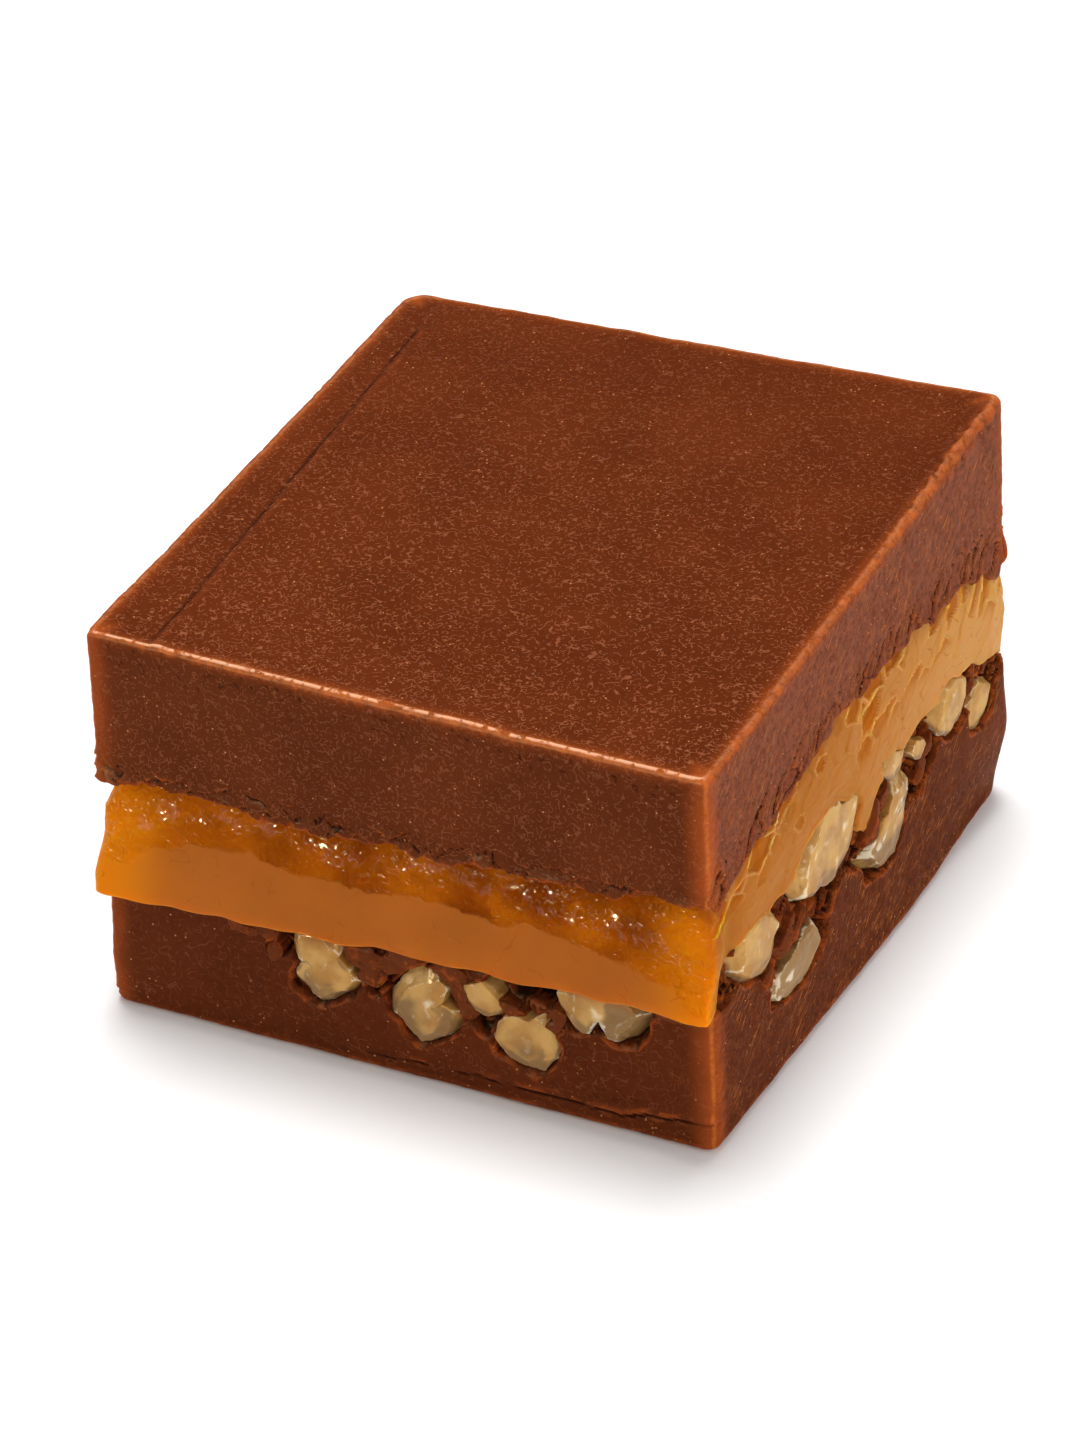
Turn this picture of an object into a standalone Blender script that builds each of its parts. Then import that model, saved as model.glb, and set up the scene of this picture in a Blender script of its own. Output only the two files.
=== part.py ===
# Layered chocolate fudge, hand cut: a slab of fudge with walnut pieces pressed into its top, a band
# of soft caramel that has crept out over it, and a second slab of fudge on top. Metres, +Z up,
# standing on z = 0. The front is -Y and the right side is +X.
import math

import bmesh
import bpy
from mathutils import Matrix, Vector, noise

# Driving dimensions of the cut square
WIDTH = 0.0508
DEPTH = 0.0528
HEIGHT = 0.0340
GAP = 0.0003  # clearance between neighbouring pieces

# Corners in the order front left, front right, back right, back left. The knife leaned a little:
# how far each corner stands off the true rectangle at the foot and at the head, as (x, y)
FOOT_LEAN = ((-0.0003, -0.0002), (-0.0009, 0.0005), (0.0008, -0.0005), (-0.0002, 0.0001))
HEAD_LEAN = ((0.0008, 0.0002), (0.0002, -0.0004), (-0.0001, 0.0006), (-0.0004, -0.0001))
MIDDLE = (0.0003, 0.0002)  # moves the whole square so that its outline is centred

# Surfaces between the layers: heights at the left, middle and right, row by row from the front, the
# middle and the back of the square, then how ragged the surface is along the cut faces
SEAM_LOW = (
    ((0.0103, 0.0118, 0.0125), (0.0112, 0.0124, 0.0153), (0.0118, 0.0128, 0.0126)), 0.0003,
)
SEAM_HIGH = (
    ((0.0217, 0.0213, 0.0224), (0.0220, 0.0230, 0.0252), (0.0222, 0.0229, 0.0216)), 0.0006,
)
HEAD = (
    ((0.0334, 0.0333, 0.0333), (0.0337, 0.0339, 0.0341), (0.0341, 0.0345, 0.0351)), 0.0001,
)

CORNER_FADE = 0.004  # how far round a corner the relief of a side reaches
COLUMNS = 18  # grid columns along each side of a layer
PLATE = 0.80  # the middle of every seam is a flat plate this much of the square's size
CORNER_RADII = {
    "lower": (0.0011, 0.0009, 0.0026, 0.0022),
    "caramel": (0.0012, 0.0006, 0.0014, 0.0018),
    "upper": (0.0006, 0.0005, 0.0011, 0.0018),
}

# Score line that the pan's lip left along the left edge of the top
SCORE_X = (-0.0200, -0.0220)  # at its front and back ends
SCORE_Y = (-0.0275, 0.0215)
SCORE_WIDTH = 0.0008
SCORE_DEPTH = 0.0004

# Walnut pieces, each one a few lobes grown together. A lobe is (along, height, depth, half length,
# half height, half depth, tilt in degrees): along is X on the front and back and Y on the left
# and right, and depth is how far its middle lies behind the cut face. The knife went through
# every piece, so each ends in a flat a little proud of its face.
WALNUTS = {
    "walnut_front_1": ("front", [(-0.0070, 0.0073, 0.0012, 0.0028, 0.0025, 0.0026, 0),
                                 (-0.0064, 0.0100, 0.0014, 0.0023, 0.0022, 0.0026, 10),
                                 (-0.0087, 0.0101, 0.0015, 0.0016, 0.0015, 0.0020, -10)]),
    "walnut_front_2": ("front", [(0.0024, 0.0080, 0.0011, 0.0024, 0.0025, 0.0027, -15),
                                 (0.0013, 0.0056, 0.0013, 0.0021, 0.0019, 0.0020, 20),
                                 (0.0002, 0.0082, 0.0011, 0.0015, 0.0011, 0.0016, 10)]),
    "walnut_front_3": ("front", [(0.0103, 0.0063, 0.0011, 0.0027, 0.0025, 0.0027, 0),
                                 (0.0093, 0.0080, 0.0013, 0.0019, 0.0014, 0.0020, -35)]),
    "walnut_front_4": ("front", [(0.0163, 0.0109, 0.0013, 0.0030, 0.0017, 0.0024, -8),
                                 (0.0143, 0.0108, 0.0011, 0.0019, 0.0018, 0.0024, 0),
                                 (0.0186, 0.0102, 0.0011, 0.0019, 0.0017, 0.0022, -20)]),
    "walnut_front_5": ("front", [(0.0068, 0.0095, 0.0009, 0.0015, 0.0011, 0.0017, -8)]),
    "walnut_right_1": ("right", [(-0.0192, 0.0147, 0.0011, 0.0032, 0.0025, 0.0026, 35),
                                 (-0.0176, 0.0156, 0.0013, 0.0021, 0.0017, 0.0020, 20)]),
    "walnut_right_2": ("right", [(-0.0128, 0.0076, 0.0011, 0.0044, 0.0018, 0.0024, 4),
                                 (-0.0103, 0.0080, 0.0010, 0.0023, 0.0018, 0.0022, 10)]),
    "walnut_right_3": ("right", [(-0.0074, 0.0153, 0.0012, 0.0048, 0.0027, 0.0030, 8),
                                 (-0.0098, 0.0150, 0.0013, 0.0030, 0.0024, 0.0026, 0),
                                 (-0.0042, 0.0156, 0.0012, 0.0028, 0.0025, 0.0024, -15)]),
    "walnut_right_4": ("right", [(0.0030, 0.0101, 0.0012, 0.0042, 0.0018, 0.0021, 35),
                                 (0.0010, 0.0090, 0.0010, 0.0025, 0.0019, 0.0024, 30),
                                 (0.0056, 0.0121, 0.0013, 0.0024, 0.0015, 0.0019, 28)]),
    "walnut_right_5": ("right", [(0.0044, 0.0153, 0.0010, 0.0026, 0.0013, 0.0020, 0)]),
    "walnut_right_6": ("right", [(0.0153, 0.0139, 0.0011, 0.0027, 0.0023, 0.0026, 10)]),
    "walnut_right_7": ("right", [(0.0201, 0.0112, 0.0010, 0.0028, 0.0015, 0.0022, 22)]),
    "walnut_right_8": ("right", [(0.0093, 0.0140, 0.0009, 0.0014, 0.0008, 0.0016, -18)]),
    "walnut_back_1": ("back", [(0.0128, 0.0088, 0.0012, 0.0034, 0.0022, 0.0027, -12),
                               (0.0148, 0.0106, 0.0014, 0.0021, 0.0018, 0.0022, 15)]),
    "walnut_back_2": ("back", [(0.0046, 0.0120, 0.0012, 0.0029, 0.0022, 0.0026, 14)]),
    "walnut_back_3": ("back", [(-0.0032, 0.0074, 0.0011, 0.0025, 0.0025, 0.0026, 0),
                               (-0.0016, 0.0090, 0.0014, 0.0020, 0.0016, 0.0021, 30)]),
    "walnut_back_4": ("back", [(-0.0134, 0.0109, 0.0012, 0.0036, 0.0018, 0.0025, -10),
                               (-0.0156, 0.0103, 0.0012, 0.0021, 0.0020, 0.0023, 0)]),
    "walnut_left_1": ("left", [(0.0152, 0.0096, 0.0012, 0.0030, 0.0024, 0.0027, 8)]),
    "walnut_left_2": ("left", [(0.0064, 0.0074, 0.0011, 0.0036, 0.0019, 0.0025, -18),
                               (0.0040, 0.0084, 0.0013, 0.0020, 0.0018, 0.0022, 0)]),
    "walnut_left_3": ("left", [(-0.0044, 0.0098, 0.0012, 0.0027, 0.0022, 0.0026, 20)]),
    "walnut_left_4": ("left", [(-0.0128, 0.0070, 0.0011, 0.0029, 0.0021, 0.0026, 0),
                               (-0.0112, 0.0086, 0.0014, 0.0021, 0.0016, 0.0021, 40)]),
}
WALNUT_RINGS = 6
WALNUT_SEGMENTS = 12
WALNUT_PROUD = 0.0002  # how far a walnut's cut flat stands out of the face of the square
WALNUT_POCKET = 0.00036  # how far a pocket's wall stands off its walnut

# Holes that the knife tore where it dragged a walnut or a crumb out
HOLES = {
    "front_hole": ("front", (0.0102, 0.0112, 0.0004, 0.0022, 0.0011, 0.0028, -12)),
    "right_hole": ("right", (0.0105, 0.0123, 0.0004, 0.0016, 0.0010, 0.0022, 20)),
}

# Where each cut face is torn between its walnuts: start, end, lowest height
TORN = {
    "front": (-0.0135, 0.0215, 0.0058),
    "right": (-0.0235, 0.0240, 0.0078),
    "back": (-0.0180, 0.0190, 0.0066),
    "left": (-0.0170, 0.0190, 0.0062),
}
TORN_DEPTH = 0.0007

FUDGE = (0.170, 0.052, 0.024)
FUDGE_TOP = (0.185, 0.055, 0.024)
CARAMEL = (0.500, 0.185, 0.040)
WALNUT = (0.620, 0.440, 0.210)


def material(name, colour, roughness):
    made = bpy.data.materials.new(name)
    made.use_nodes = True
    shader = made.node_tree.nodes["Principled BSDF"]
    shader.inputs["Base Color"].default_value = (*colour, 1)
    shader.inputs["Roughness"].default_value = roughness
    shader.inputs["Metallic"].default_value = 0
    return made


def object_of(name, bm, finish):
    mesh = bpy.data.meshes.new(name)
    bm.to_mesh(mesh)
    bm.free()
    mesh.materials.append(finish)
    made = bpy.data.objects.new(name, mesh)
    bpy.context.scene.collection.objects.link(made)
    return made


def blend_corners(values, u, v):
    """Value at (u, v), each 0 to 1, from the four corners' values."""
    front = Vector(values[0]).lerp(Vector(values[1]), u)
    back = Vector(values[3]).lerp(Vector(values[2]), u)
    return front.lerp(back, v)


def curve_through(low, middle, high, t):
    """The parabola through three values at t = 0, 0.5 and 1."""
    return low * (2 * t - 1) * (t - 1) + 4 * middle * t * (1 - t) + high * t * (2 * t - 1)


def surface_height(seam, x, y):
    """Height of a seam: its own ragged curve along the cut faces, and a flat plate inside."""
    table, ragged = seam
    u = x / WIDTH + 0.5
    v = y / DEPTH + 0.5
    rows = [curve_through(*row, u) for row in table]
    curve = curve_through(*rows, v) + ragged * waves(Vector((x, y, 3 * ragged)), 0.0034, 7)
    left, right = table[1][0], table[1][2]
    front, back = table[0][1], table[2][1]
    plate = table[1][1] + (right - left) * (u - 0.5) + (back - front) * (v - 0.5)
    out = max(abs(2 * u - 1), abs(2 * v - 1))
    return plate + (curve - plate) * min(1, max(0, (out - PLATE) / (1 - PLATE)))


def leaned(point):
    """A point of the true rectangle's block, moved as the cut faces lean."""
    u = point.x / WIDTH + 0.5
    v = point.y / DEPTH + 0.5
    t = point.z / HEIGHT
    lean = blend_corners(FOOT_LEAN, u, v).lerp(blend_corners(HEAD_LEAN, u, v), t)
    return point + Vector((lean.x + MIDDLE[0], lean.y + MIDDLE[1], 0))


def stations(length, count, edge):
    """Positions along a side: both ends, two more inside each rounded corner, and even steps."""
    inner = [edge + (length - 2 * edge) * i / count for i in range(count + 1)]
    marks = [0, 0.12 * edge, 0.45 * edge] + inner
    return marks + [length - 0.45 * edge, length - 0.12 * edge, length]


def block(columns, rows):
    """A closed unit cube cut into a grid, its lines moved to the given stations, each 0 to 1."""
    bm = bmesh.new()
    bmesh.ops.create_cube(bm, size=1)
    lines = (columns[0], columns[1], rows)
    for axis, marks in enumerate(lines):
        edges = [e for e in bm.edges if abs((e.verts[0].co - e.verts[1].co)[axis]) > 1e-6]
        bmesh.ops.subdivide_edges(bm, edges=edges, cuts=len(marks) - 2, use_grid_fill=True)
    for vert in bm.verts:
        for axis, marks in enumerate(lines):
            vert.co[axis] = marks[round((vert.co[axis] + 0.5) * (len(marks) - 1))]
    return bm


def round_corner(x, y, radii):
    """Pulls the square corners of the plan into arcs of the given radii."""
    right, back = x > 0, y > 0
    radius = radii[(2 if back else 1) if right else (3 if back else 0)]
    dx = abs(x) - (WIDTH / 2 - radius)
    dy = abs(y) - (DEPTH / 2 - radius)
    if dx <= 0 or dy <= 0:
        return x, y
    pull = max(dx, dy) / math.hypot(dx, dy)
    return (
        math.copysign(WIDTH / 2 - radius + dx * pull, x),
        math.copysign(DEPTH / 2 - radius + dy * pull, y),
    )


def rim_inset(distance, radius):
    """How far a rounded rim has drawn in at this distance from its flat face."""
    if distance >= radius:
        return 0
    return radius - math.sqrt(radius**2 - (radius - distance) ** 2)


def sides_near(x, y):
    """Each side of the square with its distance from this point, and the place along it."""
    return (
        ("front", y + DEPTH / 2, x),
        ("right", WIDTH / 2 - x, y),
        ("back", DEPTH / 2 - y, x),
        ("left", x + WIDTH / 2, y),
    )


def outward(side):
    return {
        "front": Vector((0, -1, 0)),
        "right": Vector((1, 0, 0)),
        "back": Vector((0, 1, 0)),
        "left": Vector((-1, 0, 0)),
    }[side]


def waves(point, size, seed=0):
    """Smooth bumps of about this size, -1 to 1."""
    return noise.noise(point / size + Vector((seed, 0.37 * seed, -0.61 * seed)))


def step(low, high, value):
    t = min(1, max(0, (value - low) / (high - low)))
    return t * t * (3 - 2 * t)


def hump(value, middle, width):
    return math.exp(-(((value - middle) / width) ** 2))


def layer(name, floor, ceiling, radii, rims, row_marks, relief, finish):
    """One layer of the square. floor and ceiling give its heights, rims the radii of its lower and
    upper rims, and relief moves each point of its sides."""
    edge = 0.0012
    columns = (
        [s / WIDTH for s in stations(WIDTH, COLUMNS, edge)],
        [s / DEPTH for s in stations(DEPTH, COLUMNS, edge)],
    )
    bm = block(columns, row_marks)
    plate_caps(bm)
    for vert in bm.verts:
        u, v, t = vert.co
        on_side = min(u, v) < 1e-6 or max(u, v) > 1 - 1e-6
        x, y = round_corner((u - 0.5) * WIDTH, (v - 0.5) * DEPTH, radii)
        low, high = floor(x, y), ceiling(x, y)
        thick = high - low
        inset = rim_inset(t * thick, rims[0]) + rim_inset((1 - t) * thick, rims[1])
        x *= 1 - 2 * inset / WIDTH
        y *= 1 - 2 * inset / DEPTH
        point = Vector((x, y, low + t * thick))
        if on_side:
            point += shifted((u - 0.5) * WIDTH, (v - 0.5) * DEPTH, point, t, relief)
        vert.co = leaned(point)
    bmesh.ops.triangulate(bm, faces=bm.faces)
    return object_of(name, bm, finish)


def plate_caps(bm):
    """Melts the grid on the two caps of a unit block into one ring of faces round a plate."""
    for height in (0, 1):
        cap = [f for f in bm.faces if all(abs(v.co.z - height) < 1e-6 for v in f.verts)]
        plate = bmesh.ops.dissolve_faces(bm, faces=cap, use_verts=True)["region"]
        bmesh.ops.inset_individual(bm, faces=plate, thickness=0)
        verts = list(plate[0].verts)
        to_middle = Matrix.Translation((-0.5, -0.5, -height))
        bmesh.ops.scale(bm, vec=(PLATE, PLATE, 1), space=to_middle, verts=verts)


def shifted(x, y, point, t, relief):
    """The sum of the sides' reliefs here. Each fades out round the corner, so they never cross."""
    move = Vector()
    for side, distance, along in sides_near(x, y):
        share = 1 - step(0, CORNER_FADE, distance)
        if share > 0:
            push, drop = relief(side, along, point, t)
            move += share * (outward(side) * push + Vector((0, 0, drop)))
    return move


def lower_relief(side, along, point, t):
    """The lower slab's sides: a slight sag at the foot, and torn fudge between the walnuts."""
    start, end, lowest = TORN[side]
    zone = step(start - 0.001, start + 0.001, along) * (1 - step(end - 0.001, end + 0.001, along))
    zone *= step(lowest, lowest + 0.002, point.z)
    crag = 0.5 + waves(point, 0.0022, 3)
    sag = 0.0002 * hump(t, 0.35, 0.3) + 0.00012 * waves(point, 0.009, 1)
    if side == "front":
        sag -= 0.0004 * step(0.009, 0.013, along) * hump(t, 0.22, 0.05)
    return sag - TORN_DEPTH * zone * crag, 0


def caramel_relief(side, along, point, t):
    """The caramel's sides. It crept out at the front and left, so a lip stands proud at its foot
    and its shoulder is drawn in under the upper slab. The right and back were cut clean."""
    ripple = 0.00018 * waves(Vector((along, point.y, point.z * 2)), 0.004, 5)
    if side in ("front", "left"):
        lip = 0.0012 if side == "left" else 0.0007 + 0.0004 * hump(along, 0.024, 0.004)
        flare = lip * (1 - step(0.05, 0.55, t)) - 0.0012 * step(0.5, 1.0, t)
        return flare + ripple, 0
    bulge = 0.0003 * hump(t, 0.45, 0.3) - 0.0005 * step(0.75, 1, t)
    if side == "right":
        bulge -= 0.0007 * hump(along, -0.0236, 0.0012) * (1 - step(0.3, 0.8, t))
    return bulge + ripple, 0


def upper_relief(side, along, point, t):
    """The upper slab's sides: a crumbling lower rim, a scab of fudge torn loose at the front left
    corner, and the burr that the knife raised along the right edge."""
    rim = step(0.0, 0.02, t) * (1 - step(0.03, 0.24, t))
    drop = -0.0002 * rim
    push = rim * (0.0002 + 0.0003 * waves(point, 0.002, 9))
    if side == "front":
        scab = rim * hump(along, -0.0230, 0.0016)
        drop -= 0.0007 * scab
        push += 0.0006 * scab
    if side == "right":
        push += 0.0002 * rim
        burr = step(0.85, 1, t) * step(0.002, 0.014, along) * (1 - step(0.0235, 0.0255, along))
        drop += burr * (0.0003 + 0.0003 * waves(point, 0.002, 11))
    return push + 0.0001 * waves(point, 0.008, 12), drop


def lower_slab(finish):
    marks = [0, 0.03, 0.10, 0.22, 0.36, 0.50, 0.62, 0.74, 0.86, 0.97, 1]
    return layer(
        "lower_fudge", lambda x, y: 0, lambda x, y: surface_height(SEAM_LOW, x, y),
        CORNER_RADII["lower"], (0.0006, 0.0004), marks, lower_relief, finish,
    )


def caramel_band(finish):
    marks = [0, 0.04, 0.14, 0.28, 0.42, 0.56, 0.70, 0.84, 0.96, 1]
    return layer(
        "caramel", lambda x, y: surface_height(SEAM_LOW, x, y) + GAP,
        lambda x, y: surface_height(SEAM_HIGH, x, y) - GAP,
        CORNER_RADII["caramel"], (0.0004, 0.0006), marks, caramel_relief, finish,
    )


def upper_slab(finish):
    marks = [0, 0.03, 0.09, 0.16, 0.24, 0.40, 0.60, 0.80, 0.93, 0.98, 1]
    return layer(
        "upper_fudge", lambda x, y: surface_height(SEAM_HIGH, x, y),
        lambda x, y: surface_height(HEAD, x, y),
        CORNER_RADII["upper"], (0.0003, 0.0004), marks, upper_relief, finish,
    )


def face_point(side, along, height, depth):
    """The point this far behind a cut face."""
    half = DEPTH / 2 if side in ("front", "back") else WIDTH / 2
    inward = half - depth
    x, y = {
        "front": (along, -inward),
        "back": (along, inward),
        "right": (inward, along),
        "left": (-inward, along),
    }[side]
    return leaned(Vector((x, y, height)))


def lobe_frame(side, lobe):
    """Turns the unit sphere into one lobe of a walnut."""
    along, height, depth, long, high, deep, tilt = lobe
    if side in ("front", "back"):
        turn = Matrix.Rotation(-math.radians(tilt), 4, "Y")
        size = Matrix.Diagonal((long, deep, high, 1))
    else:
        turn = Matrix.Rotation(math.radians(tilt), 4, "X")
        size = Matrix.Diagonal((deep, long, high, 1))
    return Matrix.Translation(face_point(side, along, height, depth)) @ turn @ size


def reach(direction, middle, frames):
    """How far the farthest lobe lies from the middle of a walnut, in this direction."""
    far = 0
    for frame in frames:
        back = frame.inverted()
        start = back @ middle
        way = back.to_3x3() @ direction
        a, b, c = way.dot(way), start.dot(way), start.dot(start) - 1
        root = b * b - a * c
        if root > 0:
            far = max(far, (-b + math.sqrt(root)) / a)
    return far


def walnut_mesh(side, lobes, seed, margin):
    """A walnut piece, or with a margin the pocket it sits in, as one closed skin over its lobes."""
    frames = [lobe_frame(side, lobe) for lobe in lobes]
    middle = face_point(side, *lobes[0][:3])
    bm = bmesh.new()
    bmesh.ops.create_uvsphere(
        bm, u_segments=WALNUT_SEGMENTS, v_segments=WALNUT_RINGS, radius=1,
        matrix=Matrix.Rotation(math.pi / 2, 4, "X" if side in ("front", "back") else "Y"),
    )
    for vert in bm.verts:
        direction = vert.co.normalized()
        far = reach(direction, middle, frames)
        knobs = 1 + 0.09 * noise.noise(direction * 2.4 + Vector((seed, 2 * seed, 0)))
        vert.co = middle + direction * far * knobs
    bmesh.ops.smooth_vert(
        bm, verts=bm.verts, factor=0.2, use_axis_x=True, use_axis_y=True, use_axis_z=True
    )
    flat = middle + outward(side) * (lobes[0][2] + WALNUT_PROUD)
    for vert in bm.verts:
        over = (vert.co - flat).dot(outward(side))
        if over > 0:
            vert.co -= outward(side) * over * 0.85
    if margin:
        bm.normal_update()
        for vert, normal in [(v, v.normal.copy()) for v in bm.verts]:
            vert.co += normal * margin
    return bm


def cutter(name, bm, finish):
    made = object_of(name, bm, finish)
    made.hide_render = True
    made.display_type = "WIRE"
    return made


def cut(target, tool):
    made = target.modifiers.new(tool.name, "BOOLEAN")
    made.operation = "DIFFERENCE"
    made.object = tool
    made.solver = "EXACT"


def top_of(lobes):
    return max(lobe[1] + lobe[4] for lobe in lobes)


def bottom_of(lobes):
    return min(lobe[1] - lobe[4] for lobe in lobes)


def walnuts(lower, caramel, finish):
    """Every walnut piece, with its pocket cut from the slab and from the caramel over it."""
    for seed, (name, (side, lobes)) in enumerate(WALNUTS.items(), start=1):
        object_of(name, walnut_mesh(side, lobes, seed, 0), finish)
        pocket = cutter(f"pocket_{name}", walnut_mesh(side, lobes, seed, WALNUT_POCKET), finish)
        middle = face_point(side, *lobes[0][:3])
        seam = surface_height(SEAM_LOW, middle.x, middle.y)
        if bottom_of(lobes) - WALNUT_POCKET < seam + 0.001:
            cut(lower, pocket)
        if top_of(lobes) + WALNUT_POCKET > seam - 0.001:
            cut(caramel, pocket)


def holes(lower, finish):
    for seed, (name, (side, lobe)) in enumerate(HOLES.items(), start=40):
        cut(lower, cutter(name, walnut_mesh(side, [lobe], seed, 0), finish))


def score_line(upper, finish):
    """The shallow V along the left edge of the top, cut by a bar turned on its edge."""
    start = Vector((SCORE_X[0], SCORE_Y[0], surface_height(HEAD, SCORE_X[0], SCORE_Y[0])))
    end = Vector((SCORE_X[1], SCORE_Y[1], surface_height(HEAD, SCORE_X[1], SCORE_Y[1])))
    lift = Vector((0, 0, SCORE_DEPTH))
    half = Vector((SCORE_WIDTH, 0, 0))
    bm = bmesh.new()
    ends = [
        bm.faces.new([bm.verts.new(p) for p in (end - lift, end - half + lift, end + half + lift)])
    ]
    grown = bmesh.ops.extrude_face_region(bm, geom=ends)["geom"]
    bmesh.ops.translate(bm, verts=[g for g in grown if isinstance(g, bmesh.types.BMVert)], vec=start - end)
    bmesh.ops.recalc_face_normals(bm, faces=bm.faces)
    cut(upper, cutter("score_line", bm, finish))


def main():
    for old in list(bpy.data.objects):
        bpy.data.objects.remove(old)
    fudge = material("fudge", FUDGE, 0.55)
    fudge_top = material("fudge_top", FUDGE_TOP, 0.5)
    toffee = material("caramel", CARAMEL, 0.25)
    nut = material("walnut", WALNUT, 0.45)
    lower = lower_slab(fudge)
    caramel = caramel_band(toffee)
    upper = upper_slab(fudge_top)
    walnuts(lower, caramel, nut)
    holes(lower, fudge)
    score_line(upper, fudge_top)


main()
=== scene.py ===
# Layered chocolate fudge: two slabs of fudge, the soft caramel between them and the chopped walnuts
# that show in the cut faces. Lengths are millimetres until a mesh is placed. Front is -Y, right is +X.
import itertools
import math
import random

import bmesh
import bpy
import numpy as np
from mathutils import Matrix, Vector


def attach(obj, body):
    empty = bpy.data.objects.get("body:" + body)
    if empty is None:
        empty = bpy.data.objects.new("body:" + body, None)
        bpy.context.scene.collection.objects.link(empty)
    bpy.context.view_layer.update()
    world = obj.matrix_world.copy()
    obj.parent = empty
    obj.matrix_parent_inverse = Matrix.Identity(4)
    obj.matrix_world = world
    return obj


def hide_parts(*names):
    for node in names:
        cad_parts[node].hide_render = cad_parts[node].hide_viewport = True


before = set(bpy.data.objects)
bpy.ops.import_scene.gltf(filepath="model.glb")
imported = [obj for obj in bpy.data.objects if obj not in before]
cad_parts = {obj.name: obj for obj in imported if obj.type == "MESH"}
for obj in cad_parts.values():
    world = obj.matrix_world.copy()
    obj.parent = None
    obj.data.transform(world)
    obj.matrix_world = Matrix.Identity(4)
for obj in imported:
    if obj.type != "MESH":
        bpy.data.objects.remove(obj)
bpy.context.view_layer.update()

mm = 0.001

square = {
    "width": 50.8,
    "depth": 52.8,
    "height": 34.0,
    "middle": (0.3, 0.2),  # moves the outline's middle over the origin
    # how far each corner stands off a true rectangle: front left, front right, back right, back left
    "footLean": ((-0.3, -0.2), (-0.9, 0.5), (0.8, -0.5), (-0.2, 0.1)),
    "headLean": ((0.7, 0.2), (0.2, -0.4), (-0.1, 0.7), (-0.6, 0.3)),
    "plate": 0.80,  # share of the square that is a flat plate inside every seam
    "cornerFade": 4.0,  # how far round a corner the relief of one side reaches
}

# Heights at the left, middle and right, row by row from the front, middle and back; and raggedness
seams = {
    "foot": (((0, 0, 0), (0, 0, 0), (0, 0, 0)), 0.0),
    "low": (((10.3, 11.8, 12.5), (11.2, 12.4, 15.3), (11.8, 12.8, 12.6)), 0.3),
    "high": (((21.7, 21.3, 22.4), (22.0, 23.0, 25.2), (22.2, 22.9, 21.6)), 0.6),
    "head": (((33.4, 33.3, 33.3), (33.7, 33.9, 34.1), (34.3, 34.7, 35.2)), 0.1),
}

halfWide, halfDeep = square["width"] / 2, square["depth"] / 2
tiny = 1e-6

outwards = {"front": (0, -1, 0), "right": (1, 0, 0), "back": (0, 1, 0), "left": (-1, 0, 0)}
dragAngle = {"right": math.radians(18), "back": math.radians(-16)}  # the way the knife dragged
streakAngle = math.radians(39)  # the way its finer scratches run


# Small numeric tools: smooth steps, humps, noise and cells on whole arrays of points
def step(low, high, value):
    t = np.clip((value - low) / (high - low), 0, 1)
    return t * t * (3 - 2 * t)


def hump(value, middle, width):
    return np.exp(-(((value - middle) / width) ** 2))


def mix(a, b, share):
    return a + (b - a) * share


# One repeatable random number, 0 to 1, for each whole-number cell
def cellRandom(cell, seed):
    c = cell.astype(np.int64)
    n = c[..., 0] * 73856093 ^ c[..., 1] * 19349663 ^ c[..., 2] * 83492791 ^ seed * 2654435761
    n = (n ^ (n >> 13)) & 0x7FFFFFFF
    n = (n * 1274126177) & 0x7FFFFFFF
    n = ((n ^ (n >> 15)) * 668265263) & 0x7FFFFFFF
    return ((n ^ (n >> 12)) & 0xFFFF) / 65535.0


# Smooth bumps of about this size, roughly -1 to 1
def waves(points, size, seed=0):
    p = points / size + 17.31 * seed
    base = np.floor(p)
    f = p - base
    ease = f * f * f * (f * (f * 6 - 15) + 10)
    total = 0
    for corner in itertools.product((0, 1), repeat=3):
        cell = base + corner
        slope = np.stack([cellRandom(cell, 3 * seed + k) for k in (1, 2, 3)], -1) * 2 - 1
        share = np.prod(np.where(np.array(corner, bool), ease, 1 - ease), -1)
        total = total + share * ((f - corner) * slope).sum(-1)
    return total * 1.5


# Waves of this size with finer ones on them
def roughness(points, size, seed=0, layers=3):
    return sum(waves(points, size / 2**k, seed + k) / 2**k for k in range(layers))


# Cracked plates: how far from a crack, each plate's own random number, and the way to its middle
def plates(points, size, seed=0):
    p = points / size + 5.71 * seed
    base = np.floor(p)
    nearest = np.full(len(p), 9.0)
    second = np.full(len(p), 9.0)
    own = np.zeros(len(p))
    offset = np.zeros((len(p), 3))
    for corner in itertools.product((-1, 0, 1), repeat=3):
        cell = base + corner
        spot = cell + np.stack([cellRandom(cell, 7 * seed + k) for k in (4, 5, 6)], -1)
        away = p - spot
        far = np.sqrt((away**2).sum(-1))
        closer = far < nearest
        second = np.where(closer, nearest, np.minimum(second, far))
        own = np.where(closer, cellRandom(cell, 7 * seed + 8), own)
        offset = np.where(closer[:, None], away, offset)
        nearest = np.where(closer, far, nearest)
    return second - nearest, own, offset


# 1 on the crack between two plates, 0 beside it
def onCrack(crack, width=0.07):
    return 1 - step(0, width, crack)


# Points pushed aside a little, so that plates made from them have crooked cracks
def swayed(points, amount, size):
    return points + amount * np.stack([waves(points, size, seed) for seed in (55, 56, 57)], -1)


# Places on one side of the square as points, for noise that doesn't change with depth
def onFace(a, z):
    return np.stack([a, z, np.zeros_like(a)], -1)


# All the entries of a table that is kept by side, in one numbered list
def numbered(bySide):
    return enumerate((side, entry) for side, entries in bySide.items() for entry in entries)


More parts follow.
